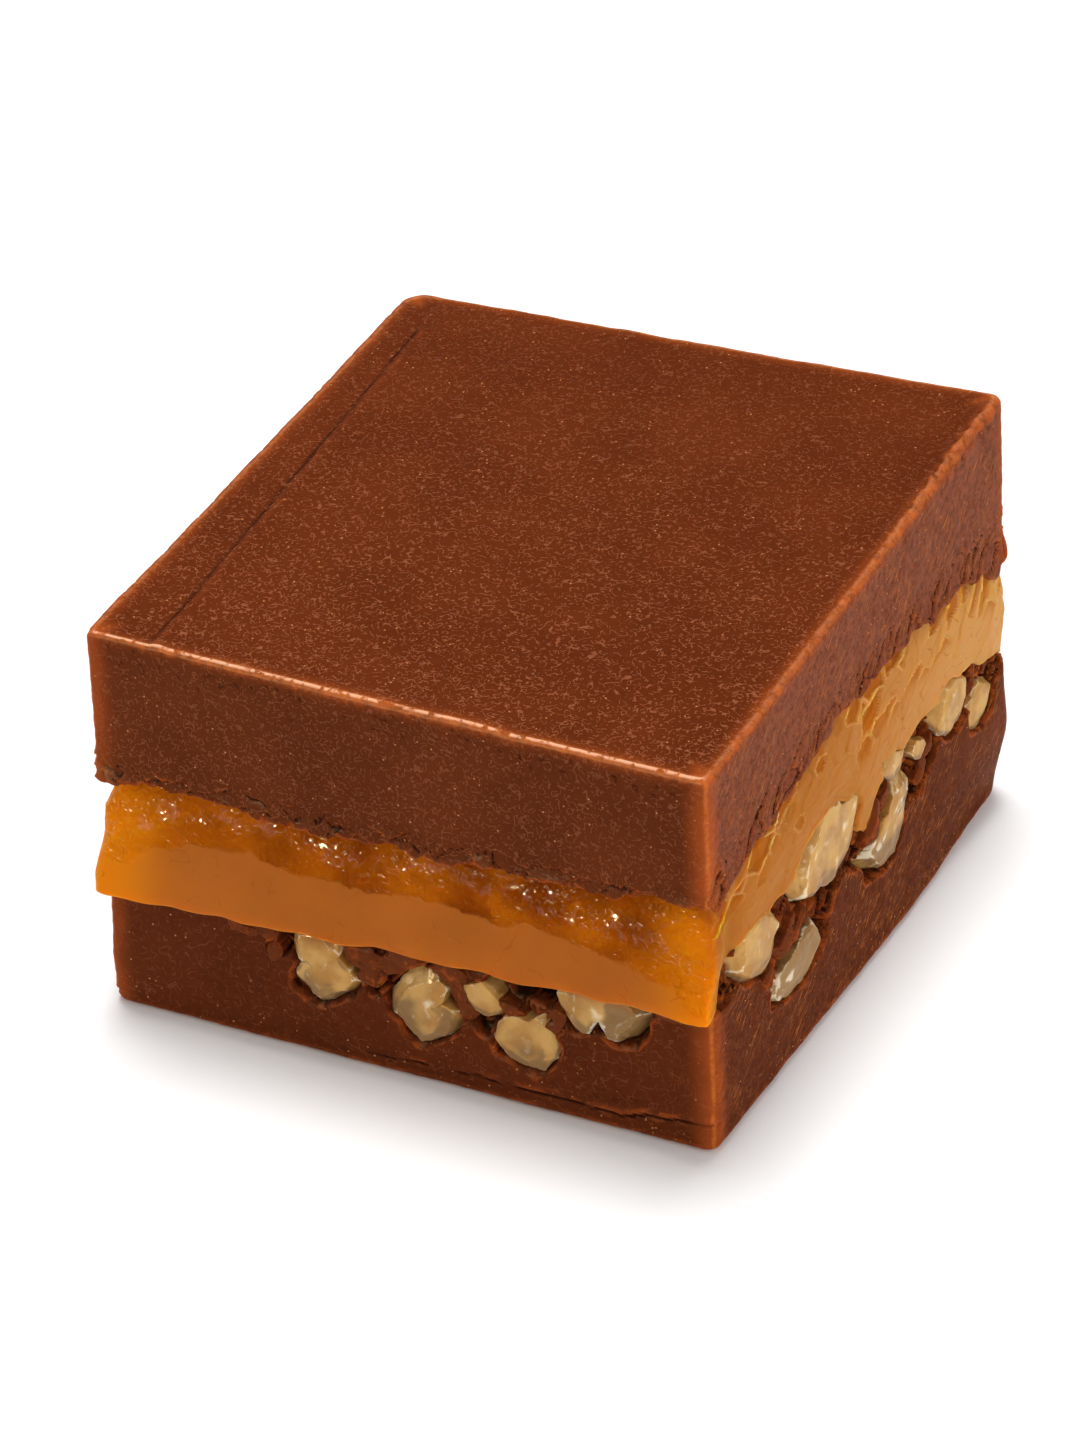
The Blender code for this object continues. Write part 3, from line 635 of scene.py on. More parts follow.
def upperRelief(side, a, z, t, points):
    up = t * upperSlab["grid"][0]
    rim = 1 - step(0.2, 1.9, up + 0.5 * waves(points, 2.4, 79))
    torn = step(0.25, 0.6, waves(points, 2.6, 81))
    drop = -rim * (0.18 + 0.22 * roughness(points, 2.0, 80, 2) + 0.5 * torn)
    push = 0.1 * waves(points, 8, 12) + 0.035 * roughness(points, 1.0, 82)
    if side in dragAngle:
        height, crack = scales(side, a, z, 3.8, 1.0, 84)
        fine, _ = scales(side, a, z, 1.9, 0.5, 85)
        strong = mix(0.08, 0.60, 1 - step(0.6, 4.2, up + 0.8 * waves(points, 3, 86)))
        push += strong * (0.75 * height + 0.2 * fine - 0.5 - 0.25 * onCrack(crack)) + 0.2 * rim
        drop -= 0.35 * rim * height
        if side == "right":
            burr = step(0.86, 1, t) * step(2, 14, a) * (1 - step(23.5, 25.5, a))
            push += 0.25 * burr * roughness(points, 1.3, 87)
            drop -= 1.6 * rim * hump(a, 24.6, 1.6)
    else:
        bent = swayed(points, 0.4, 1.3)
        crack, own, offset = plates(bent * (1, 1, 3.2), 2.8, 83)
        crumb, small, _ = plates(bent * (1, 1, 2.0), 0.8, 89)
        push += rim * (0.30 * own - 0.30 * offset[:, 2] - 0.16 * onCrack(crack, 0.06))
        push += rim * (0.06 * small - 0.03 * onCrack(crumb, 0.12))
        drop -= rim * (0.30 * own + 0.18 * small + 0.22 * waves(points, 0.7, 95))
        crevice = up - 0.85 - 0.55 * waves(points, 2.4, 96) - 0.2 * waves(points, 0.7, 98)
        parted = step(0.05, 0.3, waves(points, 3.2, 97))
        push += parted * (0.14 * (1 - step(-0.25, 0.0, crevice)) - 0.22 * hump(crevice, 0, 0.09))
        pits = step(0.35, 0.5, waves(points, 0.55, 88)) * step(0.6, 0.9, t)
        push -= 0.07 * pits
        if side == "front":
            scab = rim * hump(a, -23.0, 1.6)
            push += 0.35 * scab
            drop -= 0.4 * scab
    return push, drop


def topRelief(points):
    x, y = points[:, 0], points[:, 1]
    (x0, y0), (x1, y1) = upperSlab["score"]
    across = x - (x0 + (x1 - x0) * (y - y0) / (y1 - y0)) + 0.05 * waves(points, 2.2, 90)
    alive = 1 - step(20.5, 22.5, y)
    groove = hump(across, 0, upperSlab["scoreWidth"]) * (0.75 + 0.35 * waves(points, 3.0, 91))
    shoulder = 0.07 * hump(across, 0.8, 0.5)
    rise = alive * (shoulder - upperSlab["scoreDepth"] * groove) - 0.12 * (1 - step(-0.4, 0.2, across))
    rise += 0.06 * waves(points, 11, 92) + 0.018 * roughness(points, 1.1, 93)
    nearFront = y + halfDeep
    rise += 0.05 * hump(nearFront, 1.6 + 0.08 * (x + 25), 0.3) * hump(x, -12, 9)
    toRight = halfWide - x
    burr = hump(toRight, 0.3, 0.7) * step(2, 14, y) * (1 - step(23.5, 25.5, y))
    rise += burr * (0.35 + 0.5 * roughness(points, 1.2, 94))
    return rise


# How lumps are made: how full they are along the face and behind it, how ragged their outline is and
# how much of what stands past a flat is cut off
lumpForm = {"fullness": 0.55, "backFullness": 0.8, "ragged": 0.09, "shaved": 0.92, "room": 0.9}


# Rough lumps: a sphere pushed out to an outline, then cut by flats, as chopped nuts break
def lumpPoints(directions, outline, inward, proud, seed, flats, rough, flatten=0.8):
    rng = random.Random(seed)
    outline = np.array(outline, float)
    middle = outline.mean(0)
    angle = np.arctan2(directions[:, 2], directions[:, 0])
    rays = np.stack([np.cos(angle), np.sin(angle)], -1)
    reach = np.zeros(len(directions))
    for start, end in zip(outline - middle, np.roll(outline, -1, axis=0) - middle):
        edge = end - start
        cross = rays[:, 0] * edge[1] - rays[:, 1] * edge[0]
        safe = np.where(abs(cross) < 1e-9, 1e-9, cross)
        far = (start[0] * edge[1] - start[1] * edge[0]) / safe
        where = (start[0] * rays[:, 1] - start[1] * rays[:, 0]) / safe
        hit = (where >= -tiny) & (where <= 1 + tiny) & (far > 0)
        reach = np.where(hit & (far > reach), far, reach)
    flat = np.hypot(directions[:, 0], directions[:, 2])
    out = -directions[:, 1]
    depth = np.where(out > 0, proud + lumpForm["room"], inward)
    around = np.column_stack([rays * 1.9, np.full(len(rays), seed * 0.7)])
    reach = reach * (1 + lumpForm["ragged"] * roughness(around, 1.0, 5, 3))
    radial = reach * np.power(np.maximum(flat, tiny), lumpForm["fullness"])
    behind = -np.sign(out) * depth * np.power(abs(out), lumpForm["backFullness"])
    lump = np.stack([rays[:, 0] * radial, behind, rays[:, 1] * radial], -1)
    for _ in range(flats):
        normal = np.array([rng.uniform(-0.8, 0.8), -rng.uniform(0.4, 1.0), rng.uniform(-0.8, 0.8)])
        normal /= np.linalg.norm(normal)
        along = lump @ normal
        limit = along.max() * rng.uniform(0.68, 0.90)
        lump -= normal * (np.maximum(along - limit, 0) * lumpForm["shaved"])[:, None]
    shifted = lump + 31.7 * seed
    lump += directions * (rough * roughness(shifted, 1.6, seed % 50, 4))[:, None]
    cut = -proud - 0.12 * waves(shifted, 1.2, 3)
    lump[:, 1] = np.where(lump[:, 1] < cut, mix(lump[:, 1], cut, flatten), lump[:, 1])
    return lump, middle


# Puts a lump that was made facing the front onto one side of the square
def onSide(lump, side, middle, sink=0.0):
    atEnd = side in ("front", "back")
    along, up = lump[:, 0] + middle[0], lump[:, 2] + middle[1]
    out = (halfDeep if atEnd else halfWide) - sink - lump[:, 1]
    sideways = (1, 0, 0) if atEnd else (0, 1, 0)
    return leaned(out[:, None] * outwards[side] + along[:, None] * sideways + up[:, None] * (0, 0, 1))


def sphere(subdivisions):
    bm = bmesh.new()
    bmesh.ops.create_icosphere(bm, subdivisions=subdivisions, radius=1)
    return bm


# Material helpers
def newMaterial(name):
    made = bpy.data.materials.new(name)
    made.use_nodes = True
    return made, made.node_tree, made.node_tree.nodes["Principled BSDF"]


# Adds a shader node. A number in place of an input's name, as _0, is the input's place in the node.
def addNode(tree, kind, settings=None, **inputs):
    made = tree.nodes.new("ShaderNode" + kind)
    for key, value in (settings or {}).items():
        setattr(made, key, value)
    for key, value in inputs.items():
        setInput(tree, made.inputs[int(key[1:]) if key[0] == "_" else key.replace("_", " ")], value)
    return made


def setInput(tree, socket, value):
    if isinstance(value, bpy.types.NodeSocket):
        tree.links.new(value, socket)
    else:
        socket.default_value = value


def objectPlace(tree):
    return addNode(tree, "TexCoord").outputs["Object"]


def axisOf(tree, place, axis):
    return addNode(tree, "SeparateXYZ", Vector=place).outputs["XYZ".index(axis)]


# What the layers and nuts store at each of their points
def attributes(tree, *names):
    return [addNode(tree, "Attribute", {"attribute_name": name}).outputs["Fac"] for name in names]


def noiseOf(tree, place, size, detail=2.0, rough=0.5, twist=0.0):
    return addNode(tree, "TexNoise", Vector=place, Scale=1 / (size * mm), Detail=detail, Roughness=rough,
                   Distortion=twist).outputs["Fac"]


def between(tree, value, low, high, toLow=0.0, toHigh=1.0):
    return addNode(tree, "MapRange", {"interpolation_type": "SMOOTHSTEP"}, Value=value, From_Min=low,
                   From_Max=high, To_Min=toLow, To_Max=toHigh).outputs["Result"]


def maths(tree, kind, a, b=0.0):
    return addNode(tree, "Math", {"operation": kind}, _0=a, _1=b).outputs[0]


def times(tree, product, *factors):
    for factor in factors:
        product = maths(tree, "MULTIPLY", product, factor)
    return product


def colourMix(tree, share, a, b, kind="MIX"):
    a, b = (value if isinstance(value, bpy.types.NodeSocket) else (*value, 1) for value in (a, b))
    made = addNode(tree, "Mix", {"data_type": "RGBA", "blend_type": kind}, _0=share, _6=a, _7=b)
    return made.outputs[2]


# Lays colours over a first one, each given with its share
def layered(tree, colour, *layers):
    for share, over in layers:
        colour = colourMix(tree, share, colour, over)
    return colour


# The same colour made darker and lighter
def shades(colour, dark, light):
    return tuple(c * dark for c in colour), tuple(c * light for c in colour)


# Lays bumps over each other: height, how far it stands, strength
def bumps(tree, *layers):
    normal = None
    for height, distance, strength in layers:
        made = addNode(tree, "Bump", Height=height, Distance=distance * mm, Strength=strength)
        if normal:
            tree.links.new(normal, made.inputs["Normal"])
        normal = made.outputs["Normal"]
    return normal


def setUp(tree, shader, **inputs):
    for key, value in inputs.items():
        setInput(tree, shader.inputs[key.replace("_", " ")], value)


# Food lets light in: how much of it, how far each colour spreads, and how little it shines
def setUpFood(tree, shader, look, **inputs):
    setUp(tree, shader, Subsurface_Weight=look["through"], Subsurface_Radius=look["spread"],
          Subsurface_Scale=look["spreadSize"] * mm, Specular_IOR_Level=look["shine"], **inputs)


# Short curling strokes, as waxy fudge and wet caramel show: the middle contour of one noise, broken
# by another
def curls(tree, place, size, width, keep, seed):
    shift = (seed * 0.013, seed * 0.007, -seed * 0.011)
    moved = addNode(tree, "Mapping", Vector=place, Location=shift).outputs[0]
    off = maths(tree, "ABSOLUTE", maths(tree, "SUBTRACT", noiseOf(tree, moved, size, detail=0.0), 0.5))
    line = between(tree, off, width / size * 0.4, width / size, 1, 0)
    gaps = between(tree, noiseOf(tree, moved, size * 0.9, detail=0.0, twist=0.4), keep, keep + 0.06)
    return times(tree, line, gaps)


# Streaks along the way the knife dragged on the right face, 0 to 1
def streaks(tree, place, long, wide, seed):
    turned = addNode(tree, "Mapping", {"vector_type": "TEXTURE"}, Vector=place, Rotation=(streakAngle, 0, 0),
                     Scale=(wide * mm, long * mm, wide * mm), Location=(0, 0, seed * 0.01)).outputs[0]
    return addNode(tree, "TexNoise", Vector=turned, Scale=1.0, Detail=3.0, Roughness=0.6).outputs["Fac"]


# Small round dots, this far apart and this large. More are left out as keep goes down.
def specks(tree, place, spacing, radius, keep):
    made = addNode(tree, "TexVoronoi", Vector=place, Scale=1 / (spacing * mm))
    close = between(tree, made.outputs["Distance"], radius / spacing * 0.5, radius / spacing, 1, 0)
    chosen = addNode(tree, "SeparateColor", Color=made.outputs["Color"]).outputs[0]
    return times(tree, close, between(tree, chosen, keep, keep + 0.05, 1, 0))


# Fudge: colours that both slabs share, then what differs between them
fudgeLook = {
    # painted shade: the colour that darkens hollows, deep tears, cracks and pits
    "dark": (0.020, 0.0035, 0.001),
    "light": (0.140, 0.030, 0.008),
    # painted light: a glow and a brighter edge that stand in for light coming through the fudge
    "paintedGlow": (0.440, 0.086, 0.014),
    "edge": (0.700, 0.200, 0.036),
    # light strokes in the skin, partly painted glints
    "strokeAndGlint": (0.340, 0.110, 0.045),
    # light specks, partly painted sparkle
    "speck": (0.700, 0.300, 0.100),
    "torn": (0.150, 0.034, 0.0088),
    # painted highlight: the thin bright line on the rim
    "rim": (0.900, 0.500, 0.300),
    "streak": (0.520, 0.165, 0.032),
    "through": 0.25,
    "spread": (1.0, 0.32, 0.12),
    "spreadSize": 1.1,
    "shine": 0.015,
}
# The sides' colour is the body's times a painted sheen, lighter and greyer than the top
fudgeFinishes = {
    "fudge": {
        "body": (0.088, 0.0145, 0.0026), "sideSheen": (1.04, 1.12, 1.30), "cut": (0.096, 0.0185, 0.0036),
        "curlShare": 0.35, "curlSize": 0.75, "dry": 0.5, "rimHighlight": 0.0,
    },
    "fudge_top": {
        # on this slab the cut colour is greyer, carrying a painted sheen
        "body": (0.103, 0.0176, 0.0033), "sideSheen": (1.13, 1.28, 1.55), "cut": (0.190, 0.0490, 0.0195),
        "curlShare": 0.60, "curlSize": 0.52, "dry": 0.45, "rimHighlight": 0.85,
    },
}


# The light strokes in the skin, partly painted glints, fainter on the sides and towards the back
def fudgeStrokes(tree, place, size, crown):
    strokes = maths(tree, "MAXIMUM", curls(tree, place, size, 0.024, 0.50, 1),
                    curls(tree, place, size * 0.85, 0.020, 0.53, 5))
    return times(tree, strokes, between(tree, axisOf(tree, place, "Y"), -0.02, 0.03, 1, 0.5),
                 between(tree, crown, 0, 1, 0.6, 1))


# Painted light on the edges, standing in for light coming through the fudge: a wide glow, a narrow one and a
# highlight line on the rim
def edgeLayers(tree, place, rimHighlight):
    look = fudgeLook
    upright, level, lit = attributes(tree, "upright", "level", "lit")
    cloud = between(tree, noiseOf(tree, place, 2.5), 0.3, 0.7, 0.7, 1.1)
    wide = maths(tree, "MAXIMUM", between(tree, upright, 0.2, 2.4, 0.60, 0),
                 between(tree, level, 0.1, 1.2, 0.24, 0))
    narrow = maths(tree, "MAXIMUM", between(tree, upright, 0.1, 0.42, 0.5, 0),
                   between(tree, level, 0.1, 0.34, 0.36, 0))
    beads = times(tree, between(tree, noiseOf(tree, place, 0.45), 0.35, 0.62, 0.3, 1.15),
                  between(tree, lit, 0, 1, 0.55, 0.85))
    # the painted highlight line on the rim, strongest on the front
    line = times(tree, between(tree, level, 0.03, 0.13, 0.85, 0),
                 between(tree, noiseOf(tree, place, 0.6), 0.36, 0.5), between(tree, lit, 0, 1, 0.12, 1))
    return (
        (times(tree, wide, cloud), look["paintedGlow"]),
        (times(tree, narrow, beads), look["edge"]),
        (times(tree, line, rimHighlight), look["rim"]),
    )


def fudgeMaterial(name):
    material, tree, shader = newMaterial(name)
    look, finish = fudgeLook, fudgeFinishes[name]
    place = objectPlace(tree)
    fine, cut, crown, sunk = attributes(tree, "fine", "cut", "crown", "sunk")
    grain = noiseOf(tree, place, 0.5, detail=4, rough=0.65)
    broad = between(tree, noiseOf(tree, place, 9, detail=3), 0.35, 0.65)
    body = colourMix(tree, broad, *shades(finish["body"], 0.9, 1.1))
    # painted sheen on the sides
    sideSheened = colourMix(tree, 1.0, body, finish["sideSheen"], "MULTIPLY")
    pebbles = between(tree, noiseOf(tree, place, 0.55, detail=3, rough=0.6), 0.36, 0.64)
    # the cut faces' colour, mottled lighter and darker; on the top slab it carries a painted sheen
    mottledCut = colourMix(tree, pebbles, *shades(finish["cut"], 0.72, 1.25))
    drag = times(tree, between(tree, streaks(tree, place, 1.5, 0.12, 1), 0.57, 0.63),
                 between(tree, noiseOf(tree, place, 3.0), 0.38, 0.56))
    strokes = fudgeStrokes(tree, place, finish["curlSize"], crown)
    nearFoot = between(tree, axisOf(tree, place, "Z"), 0.001, 0.004, 0.8, 0)
    crumbs = times(tree, specks(tree, place, 0.6, 0.11, 0.4), nearFoot)
    dots = maths(tree, "MAXIMUM", specks(tree, place, 0.9, 0.09, 0.65), crumbs)
    patchy = between(tree, noiseOf(tree, place, 1.1), 0.40, 0.62)
    colour = layered(
        tree, sideSheened,
        (crown, body),
        (between(tree, grain, 0.35, 0.75, 0, 0.35), look["light"]),
        (times(tree, cut, 0.8), mottledCut),
        (times(tree, drag, cut, 0.6), look["streak"]),
        (times(tree, strokes, finish["curlShare"]), look["strokeAndGlint"]),
        # light dots: crumbs near the foot, and specks that are partly painted sparkle
        (times(tree, dots, 0.75), look["speck"]),
        (between(tree, sunk, -1.0, -0.1, 1, 0), look["torn"]),
        # painted shade in hollows and deep tears, then in cracks and pits
        (between(tree, sunk, 0.4, 1.5, 0, 0.88), look["dark"]),
        (between(tree, fine, -0.07, -0.005, 0.9, 0), look["dark"]),
        # painted glow on raised crumbs and crests
        (times(tree, between(tree, fine, 0.012, 0.06, 0, 0.42), patchy), look["paintedGlow"]),
        *edgeLayers(tree, place, finish["rimHighlight"]),
    )
    normal = bumps(
        tree,
        (noiseOf(tree, place, 0.28, detail=3, rough=0.6), 0.05, 0.5),
        (strokes, 0.05, 0.6),
        (dots, 0.06, 0.5),
        (times(tree, streaks(tree, place, 1.6, 0.14, 2), cut), 0.08, 0.6),
    )
    rough = between(tree, grain, 0.3, 0.7, finish["dry"] - 0.07, finish["dry"] + 0.1)
    setUpFood(tree, shader, look, Base_Color=colour, Roughness=rough, Normal=normal)
    return material


caramelLook = {
    "deep": (0.270, 0.048, 0.0003),
    "amber": (0.480, 0.112, 0.0010),
    "matte": (0.415, 0.116, 0.0130),
    "pale": (0.380, 0.130, 0.018),
    "paler": (0.520, 0.235, 0.060),
    "patch": (0.400, 0.108, 0.006),
    # painted highlight on the shards' thin edges
    "shardEdgeHighlight": (0.680, 0.360, 0.130),
    # painted glow: bright orange where light would come through the caramel's corners
    "corner": (0.770, 0.222, 0.002),
    "shade": (0.080, 0.010, 0.0002),
    "speck": (0.850, 0.550, 0.280),
    "through": 0.75,
    "spread": (1.0, 0.42, 0.10),
    "spreadSize": 2.2,
    "shine": 0.015,
    "coatRoughness": 0.03,
}


def caramelMaterial():
    material, tree, shader = newMaterial("caramel")
    look = caramelLook
    place = objectPlace(tree)
    gloss, smeared, patch, shardEdgeHighlight = attributes(tree, "gloss", "smeared", "patch", "shardEdgeHighlight")
    shade, corner, crest = attributes(tree, "shade", "corner", "crest")
    cloud = noiseOf(tree, place, 5, detail=3)
    wet = colourMix(tree, between(tree, cloud, 0.35, 0.65), look["deep"], look["amber"])
    atLeft = between(tree, axisOf(tree, place, "X"), -0.020, -0.004, 0.8, 0)
    wet = colourMix(tree, atLeft, wet, look["amber"])
    dull = colourMix(tree, between(tree, cloud, 0.3, 0.7), *shades(look["matte"], 1, 1.12))
    veins = curls(tree, place, 2.4, 0.07, 0.54, 8)
    toBack = between(tree, axisOf(tree, place, "Y"), -0.012, 0.026)
    smooth = layered(
        tree, look["pale"],
        (toBack, look["paler"]),
        (times(tree, veins, 0.5), look["patch"]),
        (times(tree, patch, 0.9), look["patch"]),
        # painted highlight on the shards' thin edges
        (times(tree, shardEdgeHighlight, 0.35), look["shardEdgeHighlight"]),
    )
    dots = specks(tree, place, 1.5, 0.08, 0.55)
    marks = curls(tree, place, 1.6, 0.035, 0.58, 17)
    colour = layered(
        tree, dull,
        (gloss, wet),
        (between(tree, shade, 0, 1, 0, 0.9), look["shade"]),
        (smeared, smooth),
        # painted glow at the corners
        (between(tree, corner, 0, 1, 0, 0.9), look["corner"]),
        (times(tree, dots, 0.5), look["speck"]),
        (times(tree, marks, 0.3), look["deep"]),
    )
    rough = maths(tree, "SUBTRACT", 0.42, times(tree, gloss, 0.28))
    rough = maths(tree, "ADD", rough, between(tree, noiseOf(tree, place, 1.2), 0.4, 0.6, -0.02, 0.05))
    wrinkles = noiseOf(tree, place, 0.9, detail=0.0, twist=2.0)
    squiggles = maths(tree, "MAXIMUM", curls(tree, place, 1.2, 0.11, 0.44, 29),
                      curls(tree, place, 0.8, 0.09, 0.47, 37))
    normal = bumps(
        tree,
        (times(tree, wrinkles, gloss), 0.20, 1.0),
        (times(tree, squiggles, gloss), 0.05, 1.0),
        (times(tree, veins, smeared), -0.08, 0.6),
    )
    wetness = times(tree, gloss, between(tree, crest, 0.2, 0.6, 0.0, 0.5), squiggles)
    setUpFood(tree, shader, look, Base_Color=colour, Roughness=rough, Normal=normal, Coat_Weight=wetness,
              Coat_Roughness=look["coatRoughness"], Coat_Normal=normal)
    return material


walnutLook = {
    "cream": (0.425, 0.205, 0.045),
    "pale": (0.570, 0.322, 0.093),
    "grey": (0.215, 0.118, 0.047),
    "skin": (0.230, 0.105, 0.028),
    # painted shadow with an orange cast from the caramel, on nuts just under its foot
    "caramelShadow": (0.300, 0.105, 0.014),
    "glint": (0.900, 0.800, 0.600),
    "through": 0.5,
    "spread": (1.0, 0.75, 0.35),
    "spreadSize": 1.6,
    "shine": 0.12,
}


def walnutMaterial():
    material, tree, shader = newMaterial("walnut")
    look = walnutLook
    place = objectPlace(tree)
    cloud = noiseOf(tree, place, 2.2, detail=3)
    fine, rim, caramelShadow = attributes(tree, "fine", "rim", "caramelShadow")
    colour = layered(
        tree, look["cream"],
        (between(tree, cloud, 0.35, 0.65), look["pale"]),
        (between(tree, rim, 0.1, 0.9, 0, 0.85), look["grey"]),
        # painted shadow under the caramel's foot
        (between(tree, caramelShadow, 0, 1, 0, 0.85), look["caramelShadow"]),
        (between(tree, fine, -0.09, -0.01, 0.7, 0), look["skin"]),
        (between(tree, fine, 0.012, 0.05, 0, 0.6), look["glint"]),
    )
    rough = between(tree, cloud, 0.3, 0.7, 0.28, 0.45)
    normal = bumps(tree, (noiseOf(tree, place, 0.8, detail=4, rough=0.55), 0.12, 0.5))
    setUpFood(tree, shader, look, Base_Color=colour, Roughness=rough, Normal=normal)
    return material


# Building the pieces. Marks along the square's sides come closer together near its corners.
gridX, gridY = (marksAlong(length, 0.27, 1.2, 0.15) for length in (square["width"], square["depth"]))


def buildSlabs(lowerFinish, upperFinish):
    block = unitBlock(gridX, gridY, marksAlong(*lowerSlab["grid"]), False)
    refine(block, lambda u, v, t: t > 0.27 and (
        (v < tiny and 0.15 < u < 0.96) or (u > 1 - tiny and 0.02 < v < 0.97)))
    lower = newObject("lower_slab", block, lowerFinish, ["lower_fudge"])
    shapeLayer(lower.data, "foot", "low", lowerSlab, lowerRelief)
    store(lower.data, "fine", standOut(lower.data, 4))
    print("lower slab", len(lower.data.polygons))
    block = unitBlock(gridX, gridY, marksAlong(*upperSlab["grid"]), True)
    refine(block, lambda u, v, t: t < 0.17 and (v < tiny or u > 1 - tiny))
    upper = newObject("upper_slab", block, upperFinish, ["upper_fudge"])
    shapeLayer(upper.data, "high", "head", upperSlab, upperRelief, topRelief)
    store(upper.data, "fine", standOut(upper.data, 4))
    print("upper slab", len(upper.data.polygons))


def buildCaramel(finish):
    block = unitBlock(gridX, gridY, marksAlong(*caramelBand["grid"]), False)
    refine(block, lambda u, v, t: t > 0.40 and (v < tiny or u > 1 - tiny))
    band = newObject("caramel_band", block, finish, ["caramel"])
    t = shapeLayer(band.data, "low", "high", caramelBand, caramelRelief)
    points = readPoints(band.data) / mm - np.array([*square["middle"], 0])
    x, y, z = points.T
    edgeX, edgeY = caramelBand["edges"]
    toFront, toLeft, toRight, toBack = y + edgeY, x + edgeX, edgeX - x, edgeY - y
    smeared = step(-1.2, 1.2, np.minimum(toFront, toLeft) - np.minimum(toRight, toBack))
    atFront, atLeft = glossShare("front", x, z, points), glossShare("left", y, z, points)
    gloss, above = (np.where(toFront < toLeft, atFront[k], atLeft[k]) for k in (0, 1))
    crest = crestShare(above, points)
    atRight, atBack = shardShares("right", y, z, t), shardShares("back", x, z, t)
    patch, shardEdgeHighlight = (np.where(toRight < toBack, atRight[k], atBack[k]) * smeared for k in (0, 1))
    fromRight, fromLeft = np.hypot(toRight, toFront), np.hypot(toLeft, toFront)
    # painted glow near the front corners, standing in for light coming through the caramel
    corner = np.maximum(hump(fromRight, 0, 4) * (1 - smeared), hump(fromLeft, 0, 5))
    shade = step(0.80, 0.97, t + 0.03 * waves(points, 3.0, 74)) * mix(0.55, 1, step(-10, 8, x))
    shade = np.maximum(shade, 0.25 * crest * step(-12, 4, x))
    stored = {
        "crest": crest * (1 - hump(fromRight, 0, 2)), "patch": patch, "shardEdgeHighlight": shardEdgeHighlight * step(-24.5, -21.5, y),
        "gloss": gloss * (1 - smeared), "smeared": smeared, "corner": corner * (1 - step(0.72, 0.9, t)),
        "shade": shade * (1 - smeared),
    }
    for name, values in stored.items():
        store(band.data, name, values)
    print("caramel", len(band.data.polygons))


# How far down the grey lower part of a nut starts, where it isn't as on the others of its side
nutShade = {"front_1": 0.4, "front_2": -0.15, "right_4": 0.0}


def buildWalnuts(finish):
    for index, (side, outline) in numbered(walnuts):
        name = f"{side}_{walnuts[side].index(outline) + 1}"
        atGloss = side in ("front", "left")
        rounds = 6 if side in ("front", "right") else 5
        nut = newObject("nut_" + name, sphere(rounds), finish, ["walnut_" + name])
        directions = readPoints(nut.data)
        lump, middle = lumpPoints(directions, outline, 2.4, 0.15 if atGloss else 0.06, 11 + index, 13, 0.17)
        writePoints(nut.data, onSide(lump, side, middle))
        store(nut.data, "fine", standOut(nut.data, 6))
        along, up = lump[:, 0] + middle[0], lump[:, 2] + middle[1]
        away = outlineDistance(along, up, outline)
        down = 0.5 * waves(directions, 0.7, index) + 0.25 * waves(directions, 0.25, index + 40)
        down = down - directions[:, 2]
        # painted shade: its right half lies in shade
        if name == "front_4":  # grey on its right half too
            down = down + 0.9 * step(16.4, 17.4, along)
        shaded = nutShade.get(name, 0.1 if atGloss else 0.35)
        rim = np.maximum(step(shaded - 0.3, shaded + 0.6, down),
                         step(-0.5, -0.1, away) * step(-0.4, 0.3, down))
        if name == "right_2":  # grey all over
            rim = np.maximum(rim, 0.7)
        store(nut.data, "rim", rim)
        # painted shadow with an orange cast near the caramel's foot, on the front and left nuts
        foot = 11.6 + 0.05 * middle[0] if atGloss else 30
        store(nut.data, "caramelShadow", step(-1.6, 0.3, up - foot + 0.5 * waves(directions, 0.6, index + 80)))
        fixNormals(nut.data)
    print("walnuts", sum(map(len, walnuts.values())))


def fixNormals(mesh):
    bm = bmesh.new()
    bm.from_mesh(mesh)
    bmesh.ops.recalc_face_normals(bm, faces=bm.faces)
    bm.to_mesh(mesh)
    bm.free()


# Torn pieces of fudge between the nuts: middle along and up, half length, half height, tilt
tornPieces = {
    "front": [
        (-13.3, 10.2, 1.3, 0.6, -20), (-11.6, 10.2, 0.9, 0.8, 30), (-10.9, 8.7, 0.5, 0.7, 10),
        (-3.4, 10.1, 1.7, 1.1, -25), (-2.6, 8.5, 1.2, 0.9, 15), (-0.8, 10.2, 1.2, 0.9, 20),
        (0.4, 11.2, 1.5, 0.6, 5), (3.9, 11.0, 1.5, 0.8, -15), (4.9, 9.2, 0.9, 1.5, 20),
        (5.6, 7.9, 0.9, 1.0, -10), (9.0, 8.9, 1.2, 0.5, -22), (12.9, 9.3, 0.5, 0.9, 10),
        (12.6, 8.0, 0.6, 0.9, 35), (21.8, 12.0, 1.4, 0.45, -6),
    ],
    "right": [
        (-24.0, 12.3, 1.0, 0.6, 30), (-14.8, 11.8, 2.2, 0.9, 34), (-12.4, 11.6, 1.6, 0.6, 25),
        (-17.6, 10.4, 1.5, 0.7, 38), (-19.8, 10.3, 1.2, 0.5, 30), (0.6, 12.6, 1.8, 0.7, 38),
        (2.6, 13.4, 1.4, 0.5, 30), (9.4, 12.0, 1.0, 0.6, 35), (11.0, 13.0, 1.0, 0.6, 20),
        (18.6, 13.7, 1.0, 0.45, 30),
    ],
    "back": [
        (3.0, 9.4, 1.6, 0.7, -25), (-7.4, 9.0, 1.4, 0.8, -30), (8.6, 9.6, 1.2, 0.7, -20),
        (0.8, 11.6, 1.2, 0.6, -30),
    ],
    "left": [
        (-8.2, 8.2, 1.2, 0.8, 20), (0.2, 8.2, 1.5, 0.8, -20), (10.6, 7.6, 1.4, 0.9, 15),
        (-17.0, 8.6, 1.2, 0.8, -30),
    ],
}


